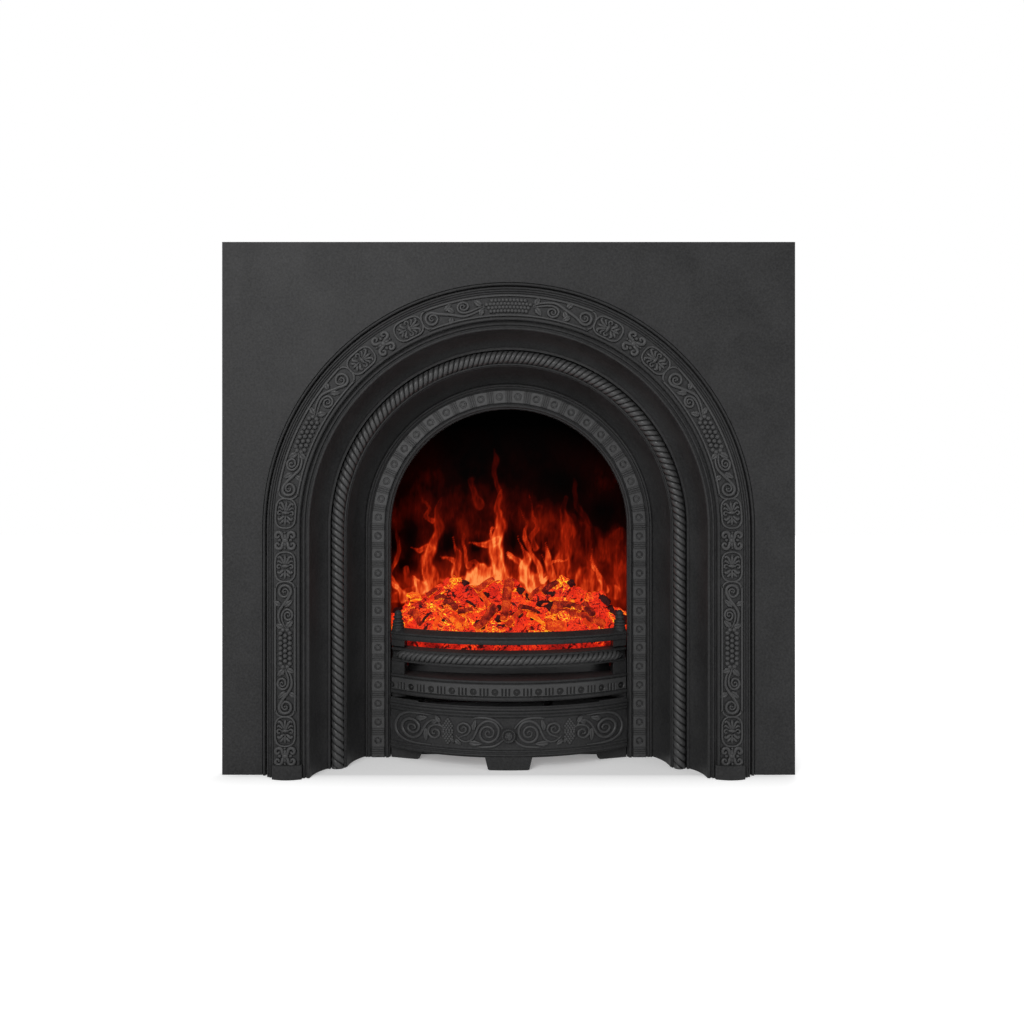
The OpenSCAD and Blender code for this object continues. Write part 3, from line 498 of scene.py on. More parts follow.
@dataclass(frozen=True)
class Painted(Finish):
    """Paint on sheet steel, or moulded plastic: one colour with a fine texture."""

    colour: Colour = (0.014, 0.014, 0.015)
    roughness: float = 0.42
    texture: float = 900
    relief: float = 0.00006
    specular: float = 0.5

    def build(self, nodes: Nodes) -> bpy.types.Material:
        """Builds a fine orange-peel texture over a slightly uneven colour.

        Args:
            nodes: The new material's empty tree.

        Returns:
            The finished material.
        """
        where = nodes.where()
        peel, cloud = nodes.noise(where, self.texture), nodes.noise(where, 9, 3, 0.3)
        darker, lighter = (tuple(share * c for c in self.colour) for share in (0.78, 1.16))
        return nodes.principled(
            Base_Color=nodes.ramp(cloud, (0.35, darker), (0.65, lighter)),
            Specular_IOR_Level=self.specular, Normal=nodes.bump(peel, self.relief, 0.6),
            Roughness=nodes.span(cloud, 0.3, 0.7, self.roughness * 0.85, self.roughness * 1.15))


@dataclass(frozen=True)
class Plated(Finish):
    """Dull zinc or bright foil: metal with fine drawn lines along one axis."""

    colour: Colour = (0.56, 0.57, 0.59)
    roughness: float = 0.34
    lines: tuple[float, float, float] = (60, 900, 900)
    spangle: float = 120

    def build(self, nodes: Nodes) -> bpy.types.Material:
        """Builds the metal with drawn lines and soft spangle.

        Args:
            nodes: The new material's empty tree.

        Returns:
            The finished material.
        """
        drawn = nodes.noise(nodes.where(*self.lines), 1.0)
        spangle = nodes.cells(nodes.where(), self.spangle)
        darker = tuple(0.8 * c for c in self.colour)
        return nodes.principled(
            Metallic=1.0, Base_Color=nodes.ramp(spangle, (0.1, darker), (0.8, self.colour)),
            Roughness=nodes.span(drawn, 0.3, 0.7, self.roughness * 0.7, self.roughness * 1.3),
            Normal=nodes.bump(drawn, 0.00004, 0.4))


@dataclass(frozen=True)
class Coals(Finish):
    """Glowing resin coals: red-orange with yellow veins, dark swirling lines, charred lumps, and
    painted shade on sides turned from the front.
    """

    tone: str = "ember_tone"
    facing_shade: str = "ember_facing_shade"
    swirl_scale: float = 46
    patch_scale: float = 28
    char_scale: float = 55
    fine_scale: float = 480
    swirls: float = 6.5
    foot: tuple[float, float] = (0.188, 0.216)

    def build(self, nodes: Nodes) -> bpy.types.Material:
        """Builds the glow from each lump's tone, warped dark lines and veins, and painted shade by
        how each point faces.

        Args:
            nodes: The new material's empty tree.

        Returns:
            The finished material.
        """
        where = nodes.where()
        tone, out = nodes.marked(self.tone), nodes.marked(self.facing_shade)
        swirl = nodes.noise(where, self.swirl_scale, 3, 1.9)
        patch = nodes.noise(where, self.patch_scale, 3, 0.8)
        fine = nodes.noise(where, self.fine_scale, 3, 0.5)
        char = nodes.noise(where, self.char_scale, 2, 1.0)
        bands = nodes.maths("PINGPONG", nodes.maths("MULTIPLY", swirl, self.swirls), 0.5)
        base = nodes.maths("ADD", nodes.span(patch, 0.3, 0.7, 0.40, 0.72),
                           nodes.span(tone, 0.0, 1.0, -0.16, 0.14),
                           nodes.span(fine, 0.3, 0.7, -0.03, 0.03))
        # Painted shade: the glow is dimmed where a point faces away from the front and the top.
        dimmed = nodes.maths("MULTIPLY", base, nodes.span(bands, 0.03, 0.13, 0.14, 1.0),
                             nodes.span(out, 0.05, 0.42, 0.34, 1.0))
        lit = nodes.maths("MULTIPLY", nodes.span(bands, 0.41, 0.47, 0.0, 0.52),
                          nodes.span(patch, 0.50, 0.58, 0.0, 1.0))
        height = nodes.add("SeparateXYZ", where).outputs["Z"]
        heat = nodes.maths("MULTIPLY", nodes.maths("ADD", dimmed, lit),
                           nodes.span(tone, 0.13, 0.17, 0.14, 1.0),
                           nodes.span(char, 0.33, 0.39, 0.2, 1.0),
                           nodes.span(height, *self.foot, 0.62, 1.0))
        glow = nodes.ramp(
            heat, (0.0, (0.010, 0.0015, 0.002)), (0.10, (0.030, 0.003, 0.003)),
            (0.26, (0.26, 0.006, 0.004)), (0.42, (0.80, 0.020, 0.006)),
            (0.60, (1.0, 0.052, 0.008)), (0.74, (1.0, 0.105, 0.008)),
            (0.87, (1.0, 0.42, 0.010)), (1.0, (1.0, 0.82, 0.025)))
        return nodes.principled(
            Base_Color=(0.020, 0.008, 0.008, 1), Roughness=0.6, Specular_IOR_Level=0.04,
            Emission_Strength=1.0, Emission_Color=glow, Normal=nodes.bump(swirl, 0.003, 0.8))


@dataclass(frozen=True)
class CharredBark(Finish):
    """Charred sticks: dark ridged bark along each stick, with glowing cracks, painted shade on
    sides turned from the front and a painted glow along their edges.
    """

    tone: str = "bark_tone"
    facing_shade: str = "bark_facing_shade"
    grain: str = "bark_grain"
    streak_scale: float = 1.3
    ash_scale: float = 60

    def build(self, nodes: Nodes) -> bpy.types.Material:
        """Builds streaks along the stick that glow more on hotter sticks, with painted shade and a
        painted rim glow by how each point faces.

        Args:
            nodes: The new material's empty tree.

        Returns:
            The finished material.
        """
        out = nodes.marked(self.facing_shade)
        streaks = nodes.noise(nodes.marked(self.grain, "Vector"), self.streak_scale, 3, 0.7)
        ash = nodes.noise(nodes.where(), self.ash_scale, 4, 0.5)
        bands = nodes.maths("PINGPONG", nodes.maths("MULTIPLY", streaks, 7.0), 0.5)
        cracks = nodes.maths("MULTIPLY", nodes.span(bands, 0.34, 0.5, 0.0, 0.42),
                             nodes.span(ash, 0.4, 0.6, 0.3, 1.0))
        base = nodes.maths("ADD", nodes.span(nodes.marked(self.tone), 0.0, 1.0, 0.14, 0.66),
                           nodes.span(ash, 0.35, 0.65, -0.10, 0.14), cracks)
        # Painted light: a rim of glow where the stick turns side-on to the front.
        rim = nodes.maths("MULTIPLY", nodes.span(out, -0.45, -0.1, 0.0, 0.7),
                          nodes.span(out, 0.2, 0.0, 0.0, 1.0))
        # Painted shade: the glow is dimmed where the stick faces away from the front and the top.
        shown = nodes.maths("MULTIPLY", base, nodes.span(out, -0.1, 0.35, 0.25, 1.0))
        glow = nodes.ramp(
            nodes.maths("ADD", shown, rim), (0.0, (0.022, 0.002, 0.003)),
            (0.18, (0.09, 0.005, 0.004)), (0.36, (0.30, 0.012, 0.004)),
            (0.55, (0.85, 0.045, 0.006)), (0.75, (1.0, 0.17, 0.008)), (1.0, (1.0, 0.62, 0.02)))
        return nodes.principled(
            Base_Color=nodes.ramp(ash, (0.4, (0.009, 0.003, 0.003)), (0.7, (0.024, 0.009, 0.009))),
            Roughness=0.7, Specular_IOR_Level=0.03, Emission_Strength=1.0, Emission_Color=glow,
            Normal=nodes.bump(streaks, 0.002, 0.8))


@dataclass(frozen=True)
class FlameGlass(Finish):
    """The smoked screen's face: it glows by the fire value that its mesh carries."""

    attribute: str = "fire_value"
    lick_scale: float = 230

    def build(self, nodes: Nodes) -> bpy.types.Material:
        """Builds the glow from the mesh's fire value, with fine licks along it.

        Args:
            nodes: The new material's empty tree.

        Returns:
            The finished material.
        """
        lick = nodes.noise(nodes.where(1, 1, 0.25), self.lick_scale, 3, 1.0)
        heat = nodes.maths("MULTIPLY", nodes.marked(self.attribute),
                           nodes.span(lick, 0.25, 0.75, 0.90, 1.09))
        glow = nodes.ramp(
            heat, (0.0, (0.0, 0.0, 0.0)), (0.10, (0.005, 0.0001, 0.0)),
            (0.22, (0.034, 0.0010, 0.0001)), (0.38, (0.13, 0.0045, 0.0006)),
            (0.54, (0.31, 0.0116, 0.0018)), (0.70, (0.60, 0.040, 0.006)),
            (0.84, (0.85, 0.10, 0.018)), (0.94, (0.95, 0.20, 0.042)), (1.0, (1.0, 0.30, 0.075)))
        return nodes.principled(
            Base_Color=(0.001, 0.001, 0.001, 1), Roughness=0.35, Specular_IOR_Level=0.0,
            Emission_Strength=1.0, Emission_Color=glow)


@dataclass(frozen=True)
class LampDome(Finish):
    """A lit amber lamp dome that glows unevenly."""

    colour: Colour = (1.0, 0.42, 0.10)

    def build(self, nodes: Nodes) -> bpy.types.Material:
        """Builds a dome that glows unevenly.

        Args:
            nodes: The new material's empty tree.

        Returns:
            The finished material.
        """
        glow = nodes.ramp(nodes.noise(nodes.where(), 600), (0.3, (1.0, 0.3, 0.05)),
                          (0.7, (1.0, 0.6, 0.25)))
        return nodes.principled(Base_Color=(*self.colour, 1), Roughness=0.2,
                                Emission_Strength=1.4, Emission_Color=glow)


IRON = CastIron("iron_casting")
# Painted light: the ornament and the rope are the casting's own black iron, given lighter copies of
# its colour as painted highlights, with painted shade in their creases.
LIT_ORNAMENT_IRON = CastIron("iron_ornament_lit", light=(0.052, 0.052, 0.0526), dark=(0.039, 0.039, 0.0395),
                         rough_low=0.32, rough_high=0.42, specular=0.15, relief=0.00006,
                         crease_shade=0.12)
LIT_ROPE_IRON = CastIron("iron_rope_lit", light=(0.057, 0.057, 0.0576), dark=(0.043, 0.043, 0.0435),
                     rough_low=0.30, rough_high=0.40, specular=0.19, crease_shade=0.04)
BLACK_PLASTIC = Painted("plastic_black", colour=(0.018, 0.018, 0.019), roughness=0.5,
                        texture=1400, relief=0.00003)
COALS = Coals("coals")
BARK = CharredBark("bark")
FLAMES = FlameGlass("flame_glass")


def smooth_path(points: Sequence[Sequence[float]], step: float = 1.2) -> np.ndarray:
    """Runs a smooth curve through points.

    Args:
        points: Rows of two or more numbers; columns after the second vary along with them.
        step: The greatest distance between the new points.

    Returns:
        An array with the same columns.
    """
    given = np.asarray(points, float)
    padded = np.vstack([2 * given[0] - given[1], given, 2 * given[-1] - given[-2]])
    rows = []
    for i in range(1, len(padded) - 2):
        a, b, c, d = padded[i - 1:i + 3]
        parts = max(2, math.ceil(np.linalg.norm((c - b)[:2]) / step))
        for t in np.arange(parts) / parts:
            rows.append(0.5 * (2 * b + (c - a) * t + (2 * a - 5 * b + 4 * c - d) * t ** 2
                               + (3 * b - a - 3 * c + d) * t ** 3))
    return np.array([*rows, padded[-2]])


def hoop(start: float, stop: float, half: float, reach: float) -> np.ndarray:
    """Returns a closed line with straight sides and full, rounded ends.

    Args:
        start: Where it starts along.
        stop: Where it stops along.
        half: Its half width.
        reach: How long each rounded end is.

    Returns:
        Rows of two numbers, from the middle of one side round to the same place.
    """
    middle, square = (start + stop) / 2, 0.8
    ends = []
    for turn in np.linspace(math.pi / 2, -math.pi / 2, 13):
        across = half * math.copysign(abs(math.sin(turn)) ** square, math.sin(turn))
        ends.append((reach * (abs(math.cos(turn)) ** square - 1), across))
    rows = [(middle, half), *[(stop + a, b) for a, b in ends], (middle, -half)]
    rows += [(start - a, -b) for a, b in ends]
    return smooth_path([*rows, (middle, half)], 1.6)


@dataclass
class Relief:
    """Flat ornament in millimetres: columns are along, across and height above the ground."""

    name: str
    sides: int = 10
    sink: float = 0.8
    # The height in millimetres below which a strand's points get painted shade.
    crease_shade: float = 1.5
    flatness: float = 0.6
    parts: list[Obj] = field(default_factory=list)

    def keep(self, rings: np.ndarray) -> None:
        """Skins a row of rings and keeps it as a part of the ornament."""
        # Painted shade: points on a strand's underside and low near the ground get a darker colour.
        unshaded = np.clip(rings[:, :, 2] / self.crease_shade, 0, 1)
        self.parts.append(Bench.skin(self.name, rings, unshaded))

    def strand(self, path: np.ndarray, half: Sequence[float], height: Sequence[float],
               closed: bool = False) -> None:
        """Adds a rounded line with a flat underside along a path.

        Args:
            path: Rows of two numbers.
            half: Half widths spread evenly along the path.
            height: Heights spread evenly along the path.
            closed: Whether the path's end meets its start.
        """
        spot = np.linspace(0, 1, len(path))
        halves, heights = (np.interp(spot, np.linspace(0, 1, len(values)), values)[:, None]
                           for values in (half, height))
        if closed:
            tangent = np.roll(path[:-1], -1, 0) - np.roll(path[:-1], 1, 0)
            tangent = np.vstack([tangent, tangent[:1]])
        else:
            tangent = np.gradient(path, axis=0)
        tangent /= np.linalg.norm(tangent, axis=1)[:, None]
        normal = np.column_stack([-tangent[:, 1], tangent[:, 0]])
        turn = np.arange(self.sides) * 2 * math.pi / self.sides
        across, up = halves * np.cos(turn), np.sin(turn)[None]
        rise = np.where(up > 1e-6, np.abs(up) ** self.flatness * heights, up * self.sink)
        flat = path[:, None, :2] + across[:, :, None] * normal[:, None, :]
        self.keep(np.dstack([flat, rise]))

    def ball(self, centre: Point2, radius: float, height: float) -> None:
        """Adds a round boss.

        Args:
            centre: Its middle.
            radius: Its radius.
            height: Its height.
        """
        share = np.linspace(-1, 1, 9)
        path = np.column_stack([centre[0] + share * radius, np.full(9, centre[1])])
        bow = np.sqrt(np.maximum(0.0, 1 - share ** 2))
        self.strand(path, radius * bow + 1e-4, height * bow)

    def leaf(self, base: Point2, angle: float, length: float, width: float, height: float,
             bend: float) -> None:
        """Adds a pointed leaf with a midrib groove and toothed edges.

        Args:
            base: Where its stalk starts.
            angle: Its direction in degrees.
            length: Its length.
            width: Its full width.
            height: Its height at the ridges.
            bend: How far its tip swings sideways.
        """
        teeth = 3
        share = np.linspace(0, 1, 8 * teeth + 3)
        body = np.sin(math.pi * share ** 0.75) ** 0.7
        notch = 1 - 0.22 * (share * teeth % 1)
        half = np.maximum(0.12, 0.57 * width * body * notch)
        lift = height * np.maximum(0.05, body) ** 0.6
        offsets = np.array([-1.0, -0.86, -0.5, -0.2, 0.0, 0.2, 0.5, 0.86, 1.0, 0.5, -0.5])
        levels = np.array([0.0, 0.8, 1.0, 0.94, 0.72, 0.94, 1.0, 0.8, 0.0, -1.0, -1.0])
        turn = math.radians(angle)
        along = np.array([math.cos(turn), math.sin(turn)])
        side = np.array([-along[1], along[0]])
        spine = (np.array(base)[None] + along[None] * (share * length)[:, None]
                 + side[None] * (bend * share ** 2)[:, None])
        flat = spine[:, None, :] + side[None, None, :] * (half[:, None] * offsets)[:, :, None]
        rise = np.where(levels >= 0, lift[:, None] * levels, -self.sink)
        self.keep(np.dstack([flat, rise]))

    def grapes(self, spots: Sequence[Point2], radius: float, height: float) -> None:
        """Adds a bunch of berries.

        Args:
            spots: The berries' places.
            radius: A berry's radius.
            height: How high a berry's centre is.
        """
        berry = Bench.ball(2, radius)
        rise = Bench.points(berry)[:, 2] / radius
        # Painted shade: each berry's lower part, near the ground, gets a darker colour.
        Bench.mark(berry, PAINTED_SHADE_MARK, np.clip((rise + 0.3) / 0.75, 0, 1))
        for spot in spots:
            self.parts.append(Bench.copy(berry, lambda p, m=(*spot, height): p + m))
        Bench.discard([berry])

    def done(self) -> Obj:
        """Joins what was added into one flat template."""
        return Bench.join(self.name, self.parts, tidy=False)


@dataclass(frozen=True)
class ArchPath:
    """A line up the left leg, over the arch and down the right leg, at a given radius."""

    radius: float
    proud: float
    spring: float = 393.0

    def length(self) -> float:
        """Returns the whole length."""
        return 2 * self.spring + math.pi * self.radius

    def room(self, along: np.ndarray, across: np.ndarray, up: np.ndarray) -> np.ndarray:
        """Turns places on the arch into the room's frame.

        Args:
            along: Distances from the left foot.
            across: Distances outwards from the line.
            up: Heights above the line's own surface.

        Returns:
            Points in metres of shape (count, 3).
        """
        arc = math.pi * self.radius
        turn = np.clip((along - self.spring) / self.radius, 0, math.pi)
        drop = np.where(along < self.spring, self.spring - along,
                        np.maximum(0, along - self.spring - arc))
        r = self.radius + across
        return np.column_stack([-r * np.cos(turn), FACE - self.proud - up,
                                self.spring + r * np.sin(turn) - drop]) * MM

    def lay(self, start: float = 0, mirrored: bool = False, turned: bool = False,
            swap: bool = False) -> Lay:
        """Returns a way to lay flat ornament at a place on the arch.

        Args:
            start: The ornament's place from the foot.
            mirrored: Whether it goes on the right half, mirrored.
            turned: Whether it is turned half round.
            swap: Whether its sides are swapped.

        Returns:
            A function from flat points to the room's points.
        """
        def place(points: np.ndarray) -> np.ndarray:
            """Lays flat points in the room.

            Args:
                points: Flat points.

            Returns:
                Points in metres.
            """
            sign = -1 if turned else 1
            side = -sign if swap else sign
            laid = self.room(start + sign * points[:, 0], side * points[:, 1], points[:, 2])
            return laid * (-1, 1, 1) if mirrored else laid
        return place


@dataclass(frozen=True)
class BowedFace:
    """An upright surface that is round from above, drawn by what the room sees of it."""

    radius: float
    centre_y: float = 333.0

    def lay(self, mirrored: bool = False) -> Lay:
        """Returns a way to lay flat ornament on the bow.

        Args:
            mirrored: Whether it is mirrored about the middle.

        Returns:
            A function from flat points, across and up from the hearth, to the room's points.
        """
        def place(points: np.ndarray) -> np.ndarray:
            """Lays flat points in the room.

            Args:
                points: Flat points.

            Returns:
                Points in metres.
            """
            lean = np.arcsin(np.clip(points[:, 0] / self.radius, -0.99, 0.99))
            r = self.radius + points[:, 2]
            laid = np.column_stack([r * np.sin(lean), FACE + self.centre_y - r * np.cos(lean),
                                    points[:, 1]]) * MM
            return laid * (-1, 1, 1) if mirrored else laid
        return place


@dataclass
class Ropes:
    """The rope round the arch and the rope on the grate's middle bar."""

    strands: int = 3
    points_per_strand: int = 11
    valley: float = 0.78
    arch: ArchPath = ArchPath(280.0, -41.5)
    arch_step: float = 1.7
    arch_radius: float = 10.2
    foot_pitch: float = 12.2
    spring_pitch: float = 11.3
    crown_pitch: float = 8.3
    bar_step: float = 1.3
    bar_radius: float = 7.9
    bar_ring: float = 297.7
    bar_height: float = 176.3
    bar_half: float = 198.5
    bar_pitch: float = 9.7
    bar_taper: float = 17.0
    smooth: float = 38

    def lobes(self, twist: np.ndarray, radius: np.ndarray) -> tuple[np.ndarray, ...]:
        """Returns every ring's points for a twisted, lobed section.

        Args:
            twist: The turn of each ring, in radians.
            radius: The radius of each ring.

        Returns:
            Two offsets and the painted shade on each point, darker in the valleys, as arrays of
            shape (rings, sides).
        """
        sides = self.strands * self.points_per_strand
        turn = np.arange(sides) * 2 * math.pi / sides
        inside = (np.arange(sides) % self.points_per_strand) / self.points_per_strand * 2 - 1
        r = self.valley + (1 - self.valley) * np.sqrt(np.maximum(0, 1 - 0.96 * inside ** 2))
        angle = turn[None] + twist[:, None]
        size = radius[:, None] * r[None]
        # Painted shade: the valleys between strands get a darker colour.
        unshaded = np.clip((r - self.valley) / (1 - self.valley) * 1.7 - 0.55, 0, 1)
        return size * np.cos(angle), size * np.sin(angle), np.broadcast_to(unshaded, size.shape)

    def arch_twist(self, along: np.ndarray) -> np.ndarray:
        """Twists the arch's rope with a spacing that tightens to the crown.

        Args:
            along: Distances from the left foot.

        Returns:
            The turn at each distance, in radians.
        """
        whole = self.arch.length()
        pitch = np.interp(np.minimum(along, whole - along), [0, self.arch.spring, whole / 2],
                          [self.foot_pitch, self.spring_pitch, self.crown_pitch])
        return -np.cumsum(np.gradient(along) / (pitch * self.strands)) * 2 * math.pi

    def build_arch(self) -> None:
        """Builds the rope round the arch."""
        whole, inset = self.arch.length(), 0.05
        along = np.linspace(inset, whole - inset, int(whole / self.arch_step))
        out, forth, unshaded = self.lobes(
            self.arch_twist(along), np.full(len(along), self.arch_radius))
        laid = self.arch.room(np.repeat(along, out.shape[1]), out.ravel(), forth.ravel())
        rope = Bench.skin("rope_round_arch", laid.reshape(*out.shape, 3), unshaded)
        Bench.hand_over(rope, LIT_ROPE_IRON, self.smooth, stands_for=["rope_moulding"])

    def build(self) -> None:
        """Builds the rope round the arch, then the one on the middle bar, with pointed ends."""
        self.build_arch()
        half = math.asin(self.bar_half / (self.bar_ring + self.bar_radius))
        length = 2 * half * self.bar_ring
        along = np.linspace(0, length, int(length / self.bar_step))
        ends = np.minimum(along, length - along)
        radius = self.bar_radius * np.clip((ends / self.bar_taper) ** 0.6, 0.16, 1)
        up, out, unshaded = self.lobes(
            -along / (self.bar_pitch * self.strands) * 2 * math.pi, radius)
        lean = ((along / length * 2 - 1) * half)[:, None]
        r = self.bar_ring + out
        laid = np.dstack([r * np.sin(lean), FACE + BowedFace.centre_y - r * np.cos(lean),
                          self.bar_height + up]) * MM
        rope = Bench.skin("rope_on_bar", laid, unshaded)
        Bench.hand_over(rope, LIT_ROPE_IRON, self.smooth, body=Body.GRATE, stands_for=["bar_rope"])


@dataclass
class ScrollBand:
    """The ornament round the arch: medallions, quatrefoils, and vines in long frames."""

    path: ArchPath = ArchPath(351.2, 20.0)
    ring_reach: float = 23.2
    ring_half: float = 15.4
    frame_end: float = 15.5
    medallion_end: float = 16.5
    roomy: float = 45
    smooth: float = 50
    fine: float = 1.1
    vine_step: float = 1.25
    medallions: tuple[float, ...] = (74, 333, 417, 692, 782)
    quatrefoils: tuple[float, ...] = (35, 374.6, 736)
    frames: tuple[Point2, ...] = ((74, 333), (417, 692))
    volutes: Rows = (
        (113, 149, 175), (294, 258, 235), (456, 494, 516), (648, 608, 577), (822, 873, 907))
    bunches: tuple[float, ...] = (205, 546.5)
    stem: Rows = (
        (60.3, -0.5), (54.3, -5.6), (44, -9.6), (32, -9.8), (22, -4.2), (12, 3.6), (5, 7.6),
        (0.2, 9.2), (-5.4, 8.2), (-9.2, 4.0), (-10, -1), (-8, -6), (-3.4, -9), (2, -8.9),
        (6.6, -5.8), (8.2, -1), (6, 3), (2, 4.9), (-2.4, 3.9), (-4.2, 0.6), (-3, -2.6),
        (0, -3.4), (1.6, -1.4))
    curl: Rows = (
        (60.0, 1.2), (53, -1.6), (44.5, -4.7), (36, -5.0), (29, -1.6), (27, 4), (30, 9.4),
        (36, 11.5), (42, 9.2), (43.9, 4), (41, 0.2), (35.6, -0.6), (31.8, 2.6), (32.6, 6.6),
        (36.4, 7.6), (38.2, 4.8), (36.2, 3.2))
    leaves: Rows = (
        (23, -1.5, 124, 17.5, 9.2, 1.5), (21, -6.4, -112, 14, 8.8, -2.0),
        (57.5, 1.6, 140, 16, 10.0, -1.0), (58, -2.4, -118, 14, 10.0, 1.0),
        (17, 5, 30, 16, 9.0, 2.0))
    palmette: tuple[tuple[float, Rows], ...] = (
        (2.5, ((4, 1.4), (9.5, 3.6), (14.0, 6.0), (16.2, 9.0), (13.8, 11.2))),
        (2.2, ((4.4, 4.2), (7.6, 7.2), (9.2, 10.2), (7.2, 12.0))),
        (1.9, ((1.0, 5.4), (3.4, 8.2), (2.6, 11.4), (-0.6, 12.0), (-2.4, 9.6), (-0.8, 8.0))),
        (2.9, ((-4.4, 2.0), (-7.2, 5.4), (-9.8, 9.0), (-7.4, 11.8))),
        (2.5, ((-9.4, 2.0), (-13.0, 4.6), (-15.6, 7.8))))
    corner: Rows = ((1.6, 2.6), (5.4, 4.2), (10.2, 5.2), (13.0, 8.4), (12.0, 13.0), (7.6, 14.9),
                    (4.3, 12.6), (5.6, 9.8), (8.2, 9.6))

    def frame(self, start: float, stop: float) -> Obj:
        """Draws the closed line round two vines and their grapes.

        Args:
            start: The middle of the medallion before it.
            stop: The middle of the medallion after it.

        Returns:
            A flat template whose first column is the distance from the foot.
        """
        work = Relief("vine_frame")
        loop = hoop(start + self.ring_reach, stop - self.ring_reach, self.ring_half, self.frame_end)
        work.strand(loop, [1.9, 1.9], [3.5, 3.5], closed=True)
        return work.done()

    def branch(self, small_at: float, base_at: float) -> Obj:
        """Draws one vine branch from its big volute to the grapes.

        Args:
            small_at: The small volute's distance from the big one.
            base_at: The grapes' distance from the big volute.

        Returns:
            A flat template.
        """
        def fit(points: Rows) -> list[Point2]:
            """Shifts the drawing along, to suit the two distances.

            Args:
                points: The drawn points.

            Returns:
                The points as they fit.
            """
            drawn = (-30.0, 13.0, 25.5, 45.5, 60.3)
            wanted = (-30.0, 13.0, small_at - 9.9, small_at + 10.1, base_at)
            return [(float(np.interp(a, drawn, wanted)), b) for a, b in points]

        work = Relief("vine_branch")
        work.strand(smooth_path(fit(self.stem), self.vine_step),
                    [1.2, 2.2, 2.7, 2.8, 2.8, 2.6, 2.35, 2.1, 1.6],
                    [2.2, 3.4, 4.2, 4.5, 4.5, 4.5, 4.3, 4.1, 3.8])
        work.ball((0.2, 0.4), 2.3, 4.4)
        work.strand(smooth_path(fit(self.curl), self.vine_step),
                    [1.1, 1.9, 2.3, 2.4, 2.35, 2.15, 1.9, 1.5],
                    [2.0, 3.2, 4.0, 4.2, 4.2, 4.1, 3.9, 3.6])
        leaves = self.leaves if small_at > self.roomy else self.leaves[:-1]
        for a, b, angle, length, width, bend in leaves:
            work.leaf(fit([(a, b)])[0], angle, length, width, 4.0, bend)
        return work.done()

    def bunch(self) -> Obj:
        """Draws a bunch of three staggered rows of grapes along the band.

        Returns:
            A flat template.
        """
        work = Relief("grapes")
        spots = [(-29.0, 3.5), (-29.0, -3.5), (29.0, 3.5), (29.0, -3.5)]
        for row in range(13):
            along = (row - 6) * 4.0
            spots += [(along, 0.0)] if row % 2 else [(along, 7.3), (along, -7.3)]
        work.grapes(spots, 4.15, 0.9)
        return work.done()

    def crown_bunch(self) -> Obj:
        """Draws the finer bunch of grapes at the top of the arch.

        Returns:
            A flat template.
        """
        work = Relief("crown_grapes")
        work.grapes([((i - (number - 1) / 2) * 5.7, row * 5.6)
                     for row, number in ((-1.5, 11), (-0.5, 12), (0.5, 13), (1.5, 10))
                     for i in range(number)], 3.5, 0.9)
        return work.done()

    def medallion(self) -> Obj:
        """Draws an oval ring with a palmette, two side curls, drop leaves and a knot in it.

        Returns:
            A flat template.
        """
        work = Relief("medallion")
        ring = hoop(-self.ring_reach, self.ring_reach, self.ring_half, self.medallion_end)
        work.strand(ring, [1.95, 1.95], [3.8, 3.8], closed=True)
        work.strand(np.array([(1.2, a) for a in np.linspace(-5.6, 5.6, 9)]),
                    [1.8, 2.8, 3.4, 2.8, 1.8], [3.4, 4.4, 5.0, 4.4, 3.4])
        for side in (1, -1):
            for half, points in self.palmette:
                path = smooth_path([(a, side * b) for a, b in points], self.fine)
                work.strand(path, [half * 0.6, half, half, half * 0.75], [3.0, 4.0, 4.4, 3.4])
        for end, tip in ((4.4, 18.6), (-4.0, -18.4)):
            drop = [(end, 0), (end + (tip - end) * 0.6, 0), (tip, 0)]
            work.strand(smooth_path(drop, self.fine), [1.2, 2.1, 2.7, 1.4], [3.2, 4.2, 4.4, 2.8])
        return work.done()

    def quatrefoil(self) -> Obj:
        """Draws four thick corner curls round a knob.

        Returns:
            A flat template.
        """
        work = Relief("quatrefoil")
        for end in (1, -1):
            for side in (1, -1):
                path = smooth_path([(end * a, side * b) for a, b in self.corner], self.fine)
                work.strand(path, [2.6, 3.1, 3.2, 3.0, 2.5, 1.9], [3.6, 4.6, 4.8, 4.8, 4.4, 3.8])
            work.ball((end * 12.2, 0.6), 2.4, 3.6)
            work.ball((0.4, end * 8.6), 3.2, 4.0)
            work.strand(smooth_path([(end * 4, 0), (end * 7.4, 0), (end * 10, 0)], self.fine),
                        [2.8, 2.6, 1.8], [4.2, 4.0, 3.0])
        work.ball((0, 0), 5.6, 5.0)
        return work.done()

    def build(self) -> None:
        """Draws the motifs once and lays their copies round the arch."""
        medallion, flower, bunch = self.medallion(), self.quatrefoil(), self.bunch()
        frames = [self.frame(*ends) for ends in self.frames]
        branches = [self.branch(abs(small - big), abs(base - big))
                    for big, small, base in self.volutes]
        for mirrored, half in ((False, "left"), (True, "right")):
            laid = [Bench.copy(template, self.path.lay(place, mirrored))
                    for template, places in ((medallion, self.medallions),
                                             (flower, self.quatrefoils),
                                             (bunch, self.bunches)) for place in places]
            laid += [Bench.copy(loop, self.path.lay(0, mirrored)) for loop in frames]
            for template, (big, small, _) in zip(branches, self.volutes):
                swap = mirrored and big == self.volutes[-1][0]
                laid.append(Bench.copy(template, self.path.lay(big, mirrored, small < big, swap)))
            Bench.hand_over(Bench.join(f"scroll_band_{half}", laid), LIT_ORNAMENT_IRON, self.smooth)
        crown, whole = self.crown_bunch(), self.path.length()
        over = self.frame(self.medallions[-1], whole - self.medallions[-1])
        laid = [Bench.copy(crown, self.path.lay(whole / 2)), Bench.copy(over, self.path.lay())]
        Bench.hand_over(Bench.join("scroll_band_crown", laid), LIT_ORNAMENT_IRON, self.smooth)
        Bench.discard([medallion, flower, bunch, crown, over, *frames, *branches])


